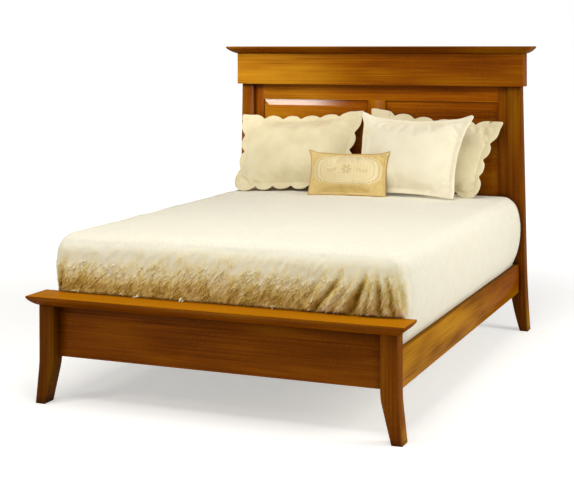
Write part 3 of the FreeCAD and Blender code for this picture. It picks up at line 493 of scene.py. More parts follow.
def smoothLine(points, count):
    # a curve through the points, resampled evenly
    points = np.array(points, float)
    padded = np.vstack([2 * points[0] - points[1], points, 2 * points[-1] - points[-2]])
    fine = []
    for i in range(len(points) - 1):
        a, b, c, d = padded[i:i + 4]
        for t in np.linspace(0, 1, 24, endpoint=False):
            fine.append(0.5 * (2 * b + (c - a) * t + (2 * a - 5 * b + 4 * c - d) * t ** 2
                               + (3 * b - a - 3 * c + d) * t ** 3))
    fine = np.array(fine + [points[-1]])
    far = np.concatenate([[0], np.cumsum(np.linalg.norm(np.diff(fine, axis=0), axis=1))])
    even = np.linspace(0, far[-1], count)
    return np.stack([np.interp(even, far, fine[:, k]) for k in range(fine.shape[1])], axis=1)


def ease(value, low, high):
    t = np.clip((np.asarray(value, float) - low) / (high - low), 0, 1)
    return t * t * (3 - 2 * t)


def setCloth(piece, spots):
    # the cloth's own map, in metres
    layer = piece.data.uv_layers.new(name="cloth")
    corners = np.zeros(len(piece.data.loops), np.int32)
    piece.data.loops.foreach_get("vertex_index", corners)
    layer.data.foreach_set("uv", np.asarray(spots, np.float32)[corners].ravel())


def paint(piece, name, values):
    layer = piece.data.attributes.new(name, "FLOAT", "POINT")
    layer.data.foreach_set("value", np.asarray(values, np.float32))


def tubeAlong(name, line, radius, finish, sides=8):
    # a closed cord through the points
    line = np.asarray(line, float)
    ahead = np.roll(line, -1, axis=0) - np.roll(line, 1, axis=0)
    ahead /= np.maximum(np.linalg.norm(ahead, axis=1, keepdims=True), 1e-9)
    out = np.cross(ahead, ahead.mean(0) + np.cross(line[0] - line.mean(0),
                                                   line[len(line) // 4] - line.mean(0)))
    out /= np.maximum(np.linalg.norm(out, axis=1, keepdims=True), 1e-9)
    up = np.cross(ahead, out)
    points, index = [], []
    for place, sideways, upward in zip(line, out, up):
        index.append([len(points) + k % sides for k in range(sides + 1)])
        for k in range(sides):
            angle = 2 * math.pi * k / sides
            points.append(place + radius * (math.cos(angle) * sideways
                                            + math.sin(angle) * upward))
    return makePiece(name, points, gridFaces(index + index[:1]), finish)


# geometry nodes for what repeats
class Recipe:
    # a geometry tree with named sizes, run once over some points, lines or faces
    def __init__(self, name, sizes):
        self.tree = bpy.data.node_groups.new(name, "GeometryNodeTree")
        sockets = self.tree.interface.new_socket
        sockets("Geometry", in_out="INPUT", socket_type="NodeSocketGeometry")
        for label, value in sizes.items():
            sockets(label, in_out="INPUT", socket_type="NodeSocketFloat").default_value = value
        sockets("Geometry", in_out="OUTPUT", socket_type="NodeSocketGeometry")
        self.given = self.tree.nodes.new("NodeGroupInput").outputs

    def node(self, kind, settings=None, inputs=None, output=0):
        return addNode(self.tree, kind, settings, inputs).outputs[output]

    def scatter(self, spots, item, way, finish, scale=(1, 1, 1)):
        # copies of the item on the spots, each turned to point that way
        turn = self.node("FunctionNodeAlignRotationToVector", {"axis": "Z"}, {"Vector": way})
        copies = self.node("GeometryNodeInstanceOnPoints", None,
                           {"Points": spots, "Instance": item, "Rotation": turn,
                            "Scale": scale})
        smooth = self.node("GeometryNodeSetShadeSmooth", None, {0: copies})
        real = self.node("GeometryNodeRealizeInstances", None, {0: smooth})
        dressed = self.node("GeometryNodeSetMaterial", None,
                            {0: real, "Material": finish.material})
        addNode(self.tree, "NodeGroupOutput", None, {0: dressed})

    def run(self, name, source, sizes, finish):
        modifier = source.modifiers.new("recipe", "NODES")
        modifier.node_group = self.tree
        for item in self.tree.interface.items_tree:
            if item.in_out == "INPUT" and item.name in sizes:
                modifier[item.identifier] = sizes[item.name]
        shown = source.evaluated_get(bpy.context.evaluated_depsgraph_get())
        mesh = bpy.data.meshes.new_from_object(shown)
        source.modifiers.remove(modifier)
        bpy.data.objects.remove(source)
        mesh.name = name
        mesh.materials.clear()
        mesh.materials.append(finish.material)
        return addPiece(name, mesh)


def stitchRecipe(finish):
    recipe = Recipe("stitchRow", {"Spacing": 0.006, "Length": 0.004, "Radius": 0.0005})
    line = recipe.node("GeometryNodeMeshToCurve", None, {0: recipe.given["Geometry"]})
    even = recipe.node("GeometryNodeResampleCurve", {"mode": "LENGTH"},
                       {"Curve": line, "Length": recipe.given["Spacing"]})
    rod = recipe.node("GeometryNodeMeshCylinder", None,
                      {"Vertices": 6, "Radius": recipe.given["Radius"],
                       "Depth": recipe.given["Length"]})
    recipe.scatter(even, rod, recipe.node("GeometryNodeInputTangent"), finish)
    return recipe


def stitches(name, line, sizes, finish):
    count = len(line)
    source = pointsOnly(name, line, [(i, (i + 1) % count) for i in range(count)])
    return stitchRecipe(finish).run(name, source, sizes, finish)


# bedspread: one sheet over the mattress, down on the foot cap, tucked in at the sides
spread = {
    "sideEdge": 0.714,       # where the flat top ends towards the sides
    "footEdge": -0.873,      # and towards the foot
    "head": 1.044,
    "hem": 0.4663,           # height of its edge on the foot cap
    "top": 0.7155,
    "crown": 0.008,
    "capRear": -0.9615,
    "thickness": 0.0085,
    "acrossStep": 0.0088,    # spacing of its points
    "alongStep": 0.0165,
    "fan": 14,               # columns round a foot corner
    "upperRows": 34,
    "lowerRows": 16,
    "pile": 0.0036,          # how far the ruffled pile stands out on the foot face
    "frontMost": -0.9985,
    "mattressGap": -0.967,   # the foot face stays in front of this
}
# folds of the foot face: how far along the hem each gap is, its half width and its depth
footFolds = [(-0.778, 0.010, 0.014), (-0.690, 0.012, 0.005), (0.345, 0.011, 0.006),
             (0.415, 0.015, 0.019), (0.492, 0.010, 0.008), (0.572, 0.021, 0.026),
             (0.632, 0.010, 0.012), (0.697, 0.014, 0.024), (0.750, 0.011, 0.020),
             (0.795, 0.008, 0.008)]
# how far the folds lean at places along the hem, sideways for each metre upwards
foldLean = ([-0.80, -0.74, -0.60, 0.42, 0.57, 0.70, 0.76, 0.82],
            [0.30, 0.40, 0.80, 0.84, 0.48, -0.05, -0.15, -0.20])
# distance out from the flat top's edge, and height
sideProfile = [(0, 0.7155), (0.034, 0.7105), (0.066, 0.6875), (0.086, 0.655), (0.095, 0.620),
               (0.100, 0.585), (0.102, 0.552), (0.1005, 0.505), (0.0965, 0.4655)]
lowProfile = [(0.0965, 0.4655), (0.088, 0.425), (0.074, 0.385), (0.0615, 0.3585),
              (0.0594, 0.345), (0.0592, 0.320), (0.0592, 0.2965)]
footProfile = [(0, 0.7155), (0.040, 0.7125), (0.070, 0.7055), (0.094, 0.690), (0.107, 0.665),
               (0.111, 0.630), (0.111, 0.575), (0.1095, 0.520), (0.1085, 0.4663)]


def spreadColumns():
    # columns go round from the left side's head end, by the foot, to the right side's
    across = np.linspace(-spread["sideEdge"], spread["sideEdge"],
                         round(2 * spread["sideEdge"] / spread["acrossStep"]) + 1)
    along = np.linspace(spread["head"], spread["footEdge"],
                        round((spread["head"] - spread["footEdge"]) / spread["alongStep"]) + 1)
    columns = [(-spread["sideEdge"], y, 0.0, -1) for y in along]
    turns = np.linspace(0, 90, spread["fan"] + 2)[1:-1]
    columns += [(-spread["sideEdge"], spread["footEdge"], turn, -1) for turn in turns]
    columns += [(x, spread["footEdge"], 90.0, 1) for x in across]
    columns += [(spread["sideEdge"], spread["footEdge"], turn, 1) for turn in turns[::-1]]
    columns += [(spread["sideEdge"], y, 0.0, 1) for y in along[::-1]]
    return across, along, columns


def buildSpread():
    across, along, columns = spreadColumns()
    top = [[(x, y) for x in across] for y in along]
    points = [(x, y, spread["top"]) for row in top for x, y in row]
    wide, deep = len(across), len(along)
    number = {}
    for row in range(deep):
        for column in range(wide):
            number[(round(across[column], 6), round(along[row], 6))] = row * wide + column
    index = [[row * wide + column for column in range(wide)] for row in range(deep)]
    faces = [face[::-1] for face in gridFaces(index)]
    side = smoothLine(sideProfile, spread["upperRows"] + 1)
    foot = smoothLine(footProfile, spread["upperRows"] + 1)
    low = smoothLine(lowProfile, spread["lowerRows"] + 1)
    kinds = [0] * len(points)          # 0 top, 1 foot face, 2 side
    skirt, lower = [], []
    for x, y, turn, hand in columns:
        start = number[(round(x, 6), round(y, 6))]
        out = math.cos(math.radians(turn)) ** 0.8 if turn < 90 else 0.0
        ahead = math.sin(math.radians(turn)) ** 0.8 if turn > 0 else 0.0
        share = ahead ** 2
        line = [start]
        for row in range(1, spread["upperRows"] + 1):
            height = side[row][1] * (1 - share) + foot[row][1] * share
            if ahead > 0 and row == spread["upperRows"]:
                height = spread["hem"] if share > 0.5 else height
            line.append(len(points))
            points.append((x + hand * out * side[row][0], y - ahead * foot[row][0], height))
            kinds.append(1 if turn > 45 else 2)
        skirt.append(line)
        reach = y - ahead * foot[-1][0]
        if reach > spread["capRear"]:
            tail = [line[-1]]
            for row in range(1, spread["lowerRows"] + 1):
                tail.append(len(points))
                points.append((x + hand * (out * low[row][0]), reach, low[row][1]))
                kinds.append(2)
            lower.append((hand, tail))
    faces += gridFaces(skirt)
    for hand in (-1, 1):
        faces += gridFaces([tail for way, tail in lower if way == hand])
    return np.array(points), faces, np.array(kinds)


# unevenness of the whole cover: the size of its lumps and their depth, in metres
spreadLumps = [((0.30, 0.24, 0.22), 0.0036), ((0.085, 0.07, 0.10), 0.0016),
               ((0.040, 0.040, 0.040), 0.0010)]
# painted shade and the golden ruffled pile of the foot face: by height, right half, left corner,
# strokes and folds, with painted shade in the fold gaps
ruffleShade = {"top": 0.10, "upper": 0.16, "right": 0.08, "low": 0.34, "leftLow": 0.12,
               "stroke": 0.22, "midStroke": 0.20, "gap": 28}


def shapeSpread(points, faces, kinds):
    x, y, z = points.T
    # the middle of the top stands a little higher than its edges
    dome = (1 - np.clip(np.abs(x) / spread["sideEdge"], 0, 1) ** 2) * ease(z, 0.66, 0.715)
    points[:, 2] += spread["crown"] * dome
    # drawn in and lowered a little at the head end
    head = ease(y, 0.80, 1.05)
    points[:, 0] -= np.sign(x) * 0.006 * head * ease(np.abs(x), 0.6, 0.8)
    points[:, 2] -= 0.004 * head * ease(z, 0.6, 0.7)
    normals = pointNormals(points, faces)
    x, y, z = points.T.copy()
    loose = ease(z, 0.300, 0.400)
    out = loose * sum(depth * lumps(points, size, 1 + i)
                      for i, (size, depth) in enumerate(spreadLumps))
    # ruffled pile and folds of the foot face
    towardsFoot = ease(-y, 0.925, 0.972)
    face = towardsFoot * ease(z, spread["hem"], 0.480)
    drop = np.clip(z - spread["hem"], 0, 0.15)
    hem = hemPlace(x, drop)
    hem += 0.006 * lumps(np.stack([hem, 0 * x, z], 1), (0.12, 1, 0.07), 4)
    fade = 1 - ease(z, 0.555, 0.660)
    gaps = sum(depth * np.exp(-((hem - place) / wide) ** 2) for place, wide, depth in footFolds)
    bunched = ease(hem, 0.30, 0.45) * (1 - ease(hem, 0.80, 0.86))
    folds = (0.011 * bunched - gaps) * fade
    slant = np.stack([(x - 0.8 * z), 0.35 * (x + z), 0 * x], 1)
    strokes = lumps(slant, (0.018, 0.028, 1), 5, 1.6)
    pile = spread["pile"] * strokes * (1 - 0.4 * bunched) * (1 - ease(z, 0.66, 0.715) * 0.6)
    points += normals * out[:, None]
    points += normals * ((folds + pile) * face)[:, None]
    onFace = face > 0.9
    points[:, 1] = np.maximum(points[:, 1], spread["frontMost"])
    points[onFace, 1] = np.minimum(points[onFace, 1], spread["mattressGap"])
    points[:, 2] = np.where(kinds == 0, np.maximum(points[:, 2], 0.7105), points[:, 2])
    # how far each point sinks into the foot face's painted shade and golden pile
    level = z + 0.022 * lumps(np.stack([x, 0 * x, 0 * x], 1), 0.11, 6) + 0.012 * strokes
    share = ruffleShade
    middle = np.exp(-((x - 0.05) / 0.30) ** 2)
    shade = (share["top"] * (1 - ease(z, 0.640, 0.700))
             + share["upper"] * (1 - ease(level, 0.570, 0.660))
             + share["right"] * ease(x, -0.6, -0.1) * (1 - ease(z, 0.665, 0.705))
             + share["low"] * (1 - ease(level, 0.490, 0.585)) * (1 - 0.85 * bunched)
             + share["leftLow"] * (1 - ease(x, -0.5, -0.2)) * (1 - ease(level, 0.490, 0.550))
             + (share["stroke"] + share["midStroke"] * middle) * strokes
             * (1 - ease(z, 0.62, 0.70)) + share["gap"] * gaps * fade)
    return points, np.clip(shade, 0, 1) * towardsFoot * (z > 0.466)


def hemPlace(x, drop):
    # which place along the hem a point's fold line runs down to
    low, high = x - 1.0, x + 1.0
    for _ in range(28):
        middle = (low + high) / 2
        past = middle + np.interp(middle, *foldLean) * drop > x
        low, high = np.where(past, low, middle), np.where(past, middle, high)
    return (low + high) / 2


plush = {
    "light": (0.885, 0.860, 0.735), "calm": (0.83, 0.78, 0.61), "tint": (0.86, 0.81, 0.64),
    # from the top of the foot face down into its folds: golden pile darkened by painted shade
    "face": [(0.0, (0.93, 0.90, 0.765)), (0.24, (0.92, 0.83, 0.54)), (0.52, (0.78, 0.61, 0.22)),
             (0.78, (0.52, 0.345, 0.065)), (1.0, (0.29, 0.165, 0.012))],
}


def plushFinish(name, sheen=0.3):
    finish = Finish(name, {"Sheen Weight": sheen, "Sheen Roughness": 0.5,
                           "Specular IOR Level": 0.0})
    place = finish.objectPlace()
    nap = finish.mottle(place, 190, 3, 0.6)
    clump = finish.mottle(finish.objectPlace(rotation=(0, 35, 0), scale=(1, 1, 0.35)), 70, 3,
                          0.6, 0.4)
    broad = finish.mottle(place, 6, 3)
    # the foot face's painted shade and golden pile, from the cover's points
    face = finish.node("ShaderNodeAttribute", {"attribute_name": "ruffle"}, output="Fac")
    depth = (clump * 0.6 + nap * 0.4).step(0.35, 0.62)
    calm = finish.between(depth, plush["calm"], plush["light"])
    calm = finish.between(broad.step(0.35, 0.7) * 0.3, calm, plush["tint"])
    shade = (face + (0.5 - depth) * 0.24 * face.step(0.0, 0.3)).higher(0.0)
    ruffled = finish.ramp(shade, plush["face"])
    finish.surface(finish.between(face.step(0.0, 0.06), calm, ruffled), 0.94 - nap * 0.08,
                   clump * 0.6 + nap * 0.4, 0.7, 0.0035)
    return finish


def makeSpread():
    points, faces, kinds = buildSpread()
    points, ruffle = shapeSpread(points, faces, kinds)
    piece = makePiece("plushBedspread", points, faces, plushFinish("spreadPlush"))
    # painted shade and golden pile colour of the foot face, kept on the points
    paint(piece, "ruffle", ruffle)
    setCloth(piece, points[:, :2] + np.stack([np.sign(points[:, 0]), 0 * points[:, 0]], 1)
             * (0.7155 - points[:, 2:3]))
    thick = piece.modifiers.new("thick", "SOLIDIFY")
    thick.thickness = spread["thickness"]
    thick.offset = -1
    thick.use_even_offset = False
    return piece


# locks of pile that stand out of the foot face, and thicker ones along its hem
tufts = {"density": 5600, "length": 0.0200, "radius": 0.0021, "hemLength": 0.020,
         "hemRadius": 0.0058, "hemDensity": 1500}


def tuftRecipe(finish, lay, stray, seed):
    recipe = Recipe("pileTufts", {"Density": 9000, "Length": 0.015, "Radius": 0.0025})
    spots = recipe.node("GeometryNodeDistributePointsOnFaces", None,
                        {"Mesh": recipe.given["Geometry"],
                         "Density": recipe.given["Density"], "Seed": seed})
    lock = recipe.node("GeometryNodeMeshCone", None,
                       {"Vertices": 5, "Radius Top": 0.0003,
                        "Radius Bottom": recipe.given["Radius"],
                        "Depth": recipe.given["Length"]})
    loose = recipe.node("FunctionNodeRandomValue", {"data_type": "FLOAT_VECTOR"},
                        {0: (-stray, -stray, -stray), 1: (stray, stray, stray),
                         "Seed": seed + 1})
    way = recipe.node("ShaderNodeVectorMath", {"operation": "ADD"}, {0: lay, 1: loose})
    grown = recipe.node("FunctionNodeRandomValue", {"data_type": "FLOAT"},
                        {2: 0.6, 3: 1.25, "Seed": seed + 2}, output=1)
    recipe.scatter(spots, lock, way, finish, grown)
    return recipe


def makeTufts(name, cover, keep, sizes, lay, stray, seed, golden):
    mesh = cover.data
    points = np.array([v.co for v in mesh.vertices])
    shade = np.zeros(len(points), np.float32)
    mesh.attributes["ruffle"].data.foreach_get("value", shade)
    faces = [p.vertices[:] for p in mesh.polygons if keep(points[list(p.vertices)].mean(0))]
    source = pointsOnly(name, points, (), faces)
    # the tufts take on the foot face's painted shade and golden pile
    paint(source, "ruffle", shade * golden)
    finish = plushFinish(name + "Plush", 0.0)
    piece = tuftRecipe(finish, lay, stray, seed).run(name, source, sizes, finish)
    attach(piece, "bed")
    return piece


bedspread = makeSpread()
makeTufts("footPile", bedspread,
          lambda p: abs(p[0]) < 0.762 and p[1] < -0.955
          and 0.480 < p[2] < 0.610 + 0.035 * noise.noise(Vector((9 * p[0], 0, 3.7))),
          {"Density": tufts["density"], "Length": tufts["length"],
           "Radius": tufts["radius"]}, (-0.60, -0.20, -0.74), 0.20, 7, 1.0)
makeTufts("hemPile", bedspread,
          lambda p: abs(p[0]) < 0.79 and p[1] < -0.955 and p[2] <= 0.480
          and noise.noise(Vector((14 * p[0], 0, 8.1))) > 0.06,
          {"Density": tufts["hemDensity"], "Length": tufts["hemLength"],
           "Radius": tufts["hemRadius"]}, (-0.25, -0.80, -0.12), 0.35, 17, 0.22)
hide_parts("bedspread")
print("bedspread made,", len(bedspread.data.vertices), "points")


# pillows: a stuffed body inside a flat flange, sewn as one cover
# width and height run over the flange, in metres; lean, yaw and roll in degrees
sham = {
    "flange": 0.034, "sag": 0.030, "crown": 0.072, "back": 0.052, "lobes": (6, 4),
    "lobeDepth": 0.029, "ear": 0.022, "step": 0.0095, "slot": "sham_cotton", "stitchIn": 0.22,
    "stitch": {"Spacing": 0.0066, "Length": 0.0046, "Radius": 0.00055},
}
pillows = {
    "leftSham": {
        **sham, "node": "sham_left", "width": 0.715, "height": 0.505, "taper": 0.04,
        "lean": 34, "yaw": 1.5, "roll": -3, "dip": 0.014, "seed": 3,
    },
    "rightSham": {
        **sham, "node": "sham_right", "width": 0.710, "height": 0.452, "taper": 0.09,
        "lean": 24, "yaw": -1, "roll": 5, "dip": 0.010, "seed": 5,
    },
    "frontPillow": {
        "node": "front_pillow", "width": 0.602, "height": 0.450, "flange": 0.030,
        "sag": 0.026, "crown": 0.064, "back": 0.042, "taper": 0.05, "lean": 22, "yaw": -8,
        "roll": 0, "lobes": None, "lobeDepth": 0.0, "ear": 0.026, "dip": 0.012,
        "leftSag": 0.1,
        "step": 0.0095, "seed": 8, "slot": "pillow_cotton", "stitchIn": 0.18,
        "stitch": {"Spacing": 0.0060, "Length": 0.0042, "Radius": 0.00050},
    },
    "lumbarPillow": {
        "node": "lumbar_pillow", "width": 0.424, "height": 0.232, "flange": 0.012,
        "sag": 0.008, "crown": 0.048, "back": 0.028, "taper": 0.0, "lean": 18, "yaw": 6,
        "roll": 0, "lobes": None, "lobeDepth": 0.0, "ear": 0.012, "dip": 0.004,
        "step": 0.0052, "seed": 11, "slot": "lumbar_gold", "stitchIn": 0.35,
        "stitch": {"Spacing": 0.0050, "Length": 0.0034, "Radius": 0.00045},
    },
}
seamThickness = 0.008
# the size of each unevenness and its depth, in metres
pillowNoise = {"dent": (0.17, 0.006), "gather": (0.024, 0.0034), "wave": (0.075, 0.006),
               "ripple": (0.028, 0.0022)}
# how far the flange and the body may stand out of their solid, and the gap to other pieces
flangeRoom, bodyRoom, neighbourRoom = 0.016, 0.004, 0.0015
threadLift = 0.0024
inflation = {"frames": 18, "pressure": 5.0, "growth": 0.035, "cap": 0.012}


def turnOf(kind):
    yaw, lean, roll = (math.radians(kind[part]) for part in ("yaw", "lean", "roll"))
    return np.array(Matrix.Rotation(yaw, 3, "Z") @ Matrix.Rotation(-lean, 3, "X")
                    @ Matrix.Rotation(roll, 3, "Y"))


def seatOf(kind):
    # the middle of the pillow's seam plane, read from the solid that it stands for
    solid = np.array([v.co for v in nodes[kind["node"]].data.vertices])
    own = solid @ turnOf(kind)
    low, high = own.min(0), own.max(0)
    return np.array([(low[0] + high[0]) / 2, low[1] + seamThickness / 2 + kind["crown"],
                     (low[2] + high[2]) / 2])


def outlineAt(kind, a, b, reach):
    # a and b run from -1 to 1 over the cover; reach 0 is the seam and 1 the flange's edge
    rim = kind["flange"]
    half = np.array([kind["width"] / 2 - rim, kind["height"] / 2 - rim])
    x = a * (half[0] - kind["sag"] * (1 - b * b) * (kind.get("leftSag", 1) if a < 0 else 1))
    z = b * (half[1] - kind["sag"] * 0.55 * (1 - a * a))
    onSide = abs(a) >= abs(b)
    along = b if onSide else a
    if kind["lobes"]:
        count = kind["lobes"][1 if onSide else 0]
        wave = (count * (along + 1) / 2) % 1.0
        swing = (1 - (2 * wave - 1) ** 2) ** 0.62
        edge = rim - kind["lobeDepth"] + kind["lobeDepth"] * swing
        edge += 0.2 * kind["sag"] * (1 - along * along)
    else:
        edge = rim
    corner = max(0.0, (abs(along) - 0.86) / 0.14) ** 2
    sideways = np.sign(a) if onSide else a * corner
    upward = b * corner if onSide else np.sign(b)
    edge += kind["ear"] * corner * (b > 0)
    x, z = x + sideways * edge * reach, z + upward * edge * reach
    # the top edge dips between its ears, and the top is wider than the bottom
    z -= kind["dip"] * max(0.0, b) ** 2 * (1 - a * a)
    return x * (1 + kind["taper"] * 2 * z / kind["height"]), z


def pillowCover(kind):
    # front and back sheets joined round the flange's edge, in the pillow's own frame
    rim = kind["flange"]
    wide = round((kind["width"] - 2 * rim) / kind["step"])
    high = round((kind["height"] - 2 * rim) / kind["step"])
    rings = max(3, round((rim + kind["lobeDepth"]) / kind["step"]))
    # closer rows towards the seams
    most = math.pi / 2 * 0.92
    a, b = (np.sin(np.linspace(-1, 1, count + 1) * most) / math.sin(most)
            for count in (wide, high))
    loop = [(i, 0) for i in range(wide)] + [(wide, j) for j in range(high)]
    loop += [(i, high) for i in range(wide, 0, -1)] + [(0, j) for j in range(high, 0, -1)]
    points, pinned, kinds, faces, index = [], [], [], [], {}
    for face, swell in ((-1, kind["crown"]), (1, kind["back"])):
        for i in range(wide + 1):
            for j in range(high + 1):
                x, z = outlineAt(kind, a[i], b[j], 0)
                full = (1 - a[i] ** 2) ** 0.86 * math.cos(b[j] * math.pi / 2) ** 0.62 \
                    if abs(b[j]) < 1 and abs(a[i]) < 1 else 0
                index[face, i, j] = len(points)
                points.append((x, face * (0.0028 + swell * full), z))
                pinned.append(1.0 if full == 0 else 0.0)
                kinds.append(0)
        grid = [[index[face, i, j] for j in range(high + 1)] for i in range(wide + 1)]
        some = gridFaces(grid)
        faces += some if face > 0 else [f[::-1] for f in some]
        before = [index[face, i, j] for i, j in loop]
        for ring in range(1, rings + 1):
            now = []
            for place, (i, j) in enumerate(loop):
                x, z = outlineAt(kind, a[i], b[j], ring / rings)
                if ring == rings and face > 0:
                    now.append(index["edge", place])
                    continue
                puff = 0.0036 if ring < rings else 0.0
                if ring == rings:
                    index["edge", place] = len(points)
                now.append(len(points))
                points.append((x, face * puff, z))
                pinned.append(1.0)
                kinds.append(ring / rings)
            band = gridFaces([before + before[:1], now + now[:1]])
            faces += band if face > 0 else [f[::-1] for f in band]
            before = now
    seam = [index[-1, i, j] for i, j in loop]
    edge = [index["edge", place] for place in range(len(loop))]
    return np.array(points), faces, np.array(pinned), np.array(kinds), seam, edge


def inflate(piece, pinned, settings):
    # the cover is cut a little larger than its space and blown up, with the flange held
    group = piece.vertex_groups.new(name="held")
    group.add([int(i) for i in np.flatnonzero(pinned)], 1.0, "REPLACE")
    cloth = piece.modifiers.new("stuffing", "CLOTH")
    rules = cloth.settings
    rules.quality = 4
    rules.mass = 0.25
    rules.tension_stiffness = rules.compression_stiffness = 12
    rules.shear_stiffness = 4
    rules.bending_stiffness = 0.25
    rules.use_pressure = True
    rules.uniform_pressure_force = settings["pressure"]
    rules.shrink_min = -settings["growth"]
    rules.vertex_group_mass = "held"
    rules.effector_weights.gravity = 0
    cloth.collision_settings.use_collision = False
    scene = bpy.context.scene
    for frameNumber in range(1, settings["frames"] + 1):
        scene.frame_set(frameNumber)
    shown = piece.evaluated_get(bpy.context.evaluated_depsgraph_get())
    result = np.array([v.co for v in shown.data.vertices])
    piece.modifiers.remove(cloth)
    piece.vertex_groups.remove(group)
    scene.frame_set(1)
    return result


def pushedFrom(points, solidName, least, inside):
    # keeps points within `least` outside a solid's skin, or out of it where inside is False
    solid = nodes[solidName].data
    tree = BVHTree.FromPolygons([v.co for v in solid.vertices],
                                [p.vertices[:] for p in solid.polygons])
    moved = points.copy()
    for i, point in enumerate(points):
        near, normal, _, gap = tree.find_nearest(Vector(point), 0.05)
        if near is None:
            continue
        side = (Vector(point) - near).dot(normal)
        if inside and side > least:
            moved[i] = np.array(near + normal * least)
        elif not inside and side < least:
            moved[i] = np.array(near + normal * least)
    return moved


def makePillow(name, finish, neighbours):
    kind = pillows[name]
    points, faces, pinned, kinds, seam, edge = pillowCover(kind)
    flat = points[:, [0, 2]].copy()
    spots = np.stack([flat[:, 0], 0 * flat[:, 0], flat[:, 1]], 1)
    dents = lumps(points, pillowNoise["dent"][0], kind["seed"], 2) * pillowNoise["dent"][1]
    # gathers run in from the nearest seam
    gap = np.stack([kind["width"] / 2 - kind["flange"] - np.abs(flat[:, 0]),
                    kind["height"] / 2 - kind["flange"] - np.abs(flat[:, 1])], 1)
    sideways = gap[:, 0] < gap[:, 1]
    along = np.where(sideways, flat[:, 1], flat[:, 0])
    inward = np.where(sideways, flat[:, 0], flat[:, 1])
    size, depth = pillowNoise["gather"]
    gathers = lumps(np.stack([along, 0.2 * inward, 0 * along], 1), size, kind["seed"] + 2, 1.5)
    dents += kind["crown"] / 0.072 * depth * gathers * np.exp(-gap.min(1) / 0.055)
    points[:, 1] += dents * (1 - pinned) * np.sign(points[:, 1])
    piece = makePiece(name, points, faces, finish)
    shift = inflate(piece, pinned, inflation) - points
    far = np.linalg.norm(shift, axis=1, keepdims=True)
    points = points + shift * np.minimum(1, inflation["cap"] / np.maximum(far, 1e-9))
    # the flange waves a little and its corners curl
    (wide, high), (small, low) = pillowNoise["wave"], pillowNoise["ripple"]
    points[:, 1] += kinds * (lumps(spots, wide, kind["seed"] + 1, 2) * high
                             + low * lumps(spots, small, kind["seed"] + 3, 1))
    world = (points + seatOf(kind)) @ turnOf(kind).T
    free = kinds > 0
    for some, room in ((free, flangeRoom), (~free, bodyRoom)):
        world[some] = pushedFrom(world[some], kind["node"], room, True)
    for other in neighbours:
        world = pushedFrom(world, other, neighbourRoom, False)
    piece.data.vertices.foreach_set("co", world.astype(np.float32).ravel())
    piece.data.update()
    setCloth(piece, flat)
    paint(piece, "flange", kinds)
    smooth = piece.modifiers.new("smooth", "SUBSURF")
    smooth.levels = smooth.render_levels = 1
    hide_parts(kind["node"])
    front = turnOf(kind) @ np.array([0, -1, 0])
    share = kind["stitchIn"]
    row = world[seam] * (1 - share) + world[edge] * share + front * threadLift
    thread = stitches(name + "Stitches", row, kind["stitch"], threadFinish)
    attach(thread, "bed")
    print(name, "made,", len(points), "points")
    return piece, world[edge]


# the shams' cotton is darker than the front pillow's: partly its own colour, partly painted
# shade
shamCotton = cottonFinish("shamCotton", (0.80, 0.725, 0.50), (0.66, 0.56, 0.33))
pillowCotton = cottonFinish("pillowCotton", (0.92, 0.87, 0.69), (0.83, 0.75, 0.54))
threadFinish = cottonFinish("sewingThread", (0.84, 0.76, 0.55), (0.70, 0.60, 0.38))
lumbarCover = {
    "gold": (0.79, 0.61, 0.28), "goldDeep": (0.63, 0.44, 0.15),
    "cream": (0.84, 0.735, 0.46), "creamDeep": (0.74, 0.61, 0.33),
    "thread": (0.50, 0.33, 0.11),
    "oval": (0.176, 0.077),   # half its width and height, in metres
    "raised": 0.018,          # how far its middle lies above the pillow's
    "rosette": 0.030,
}


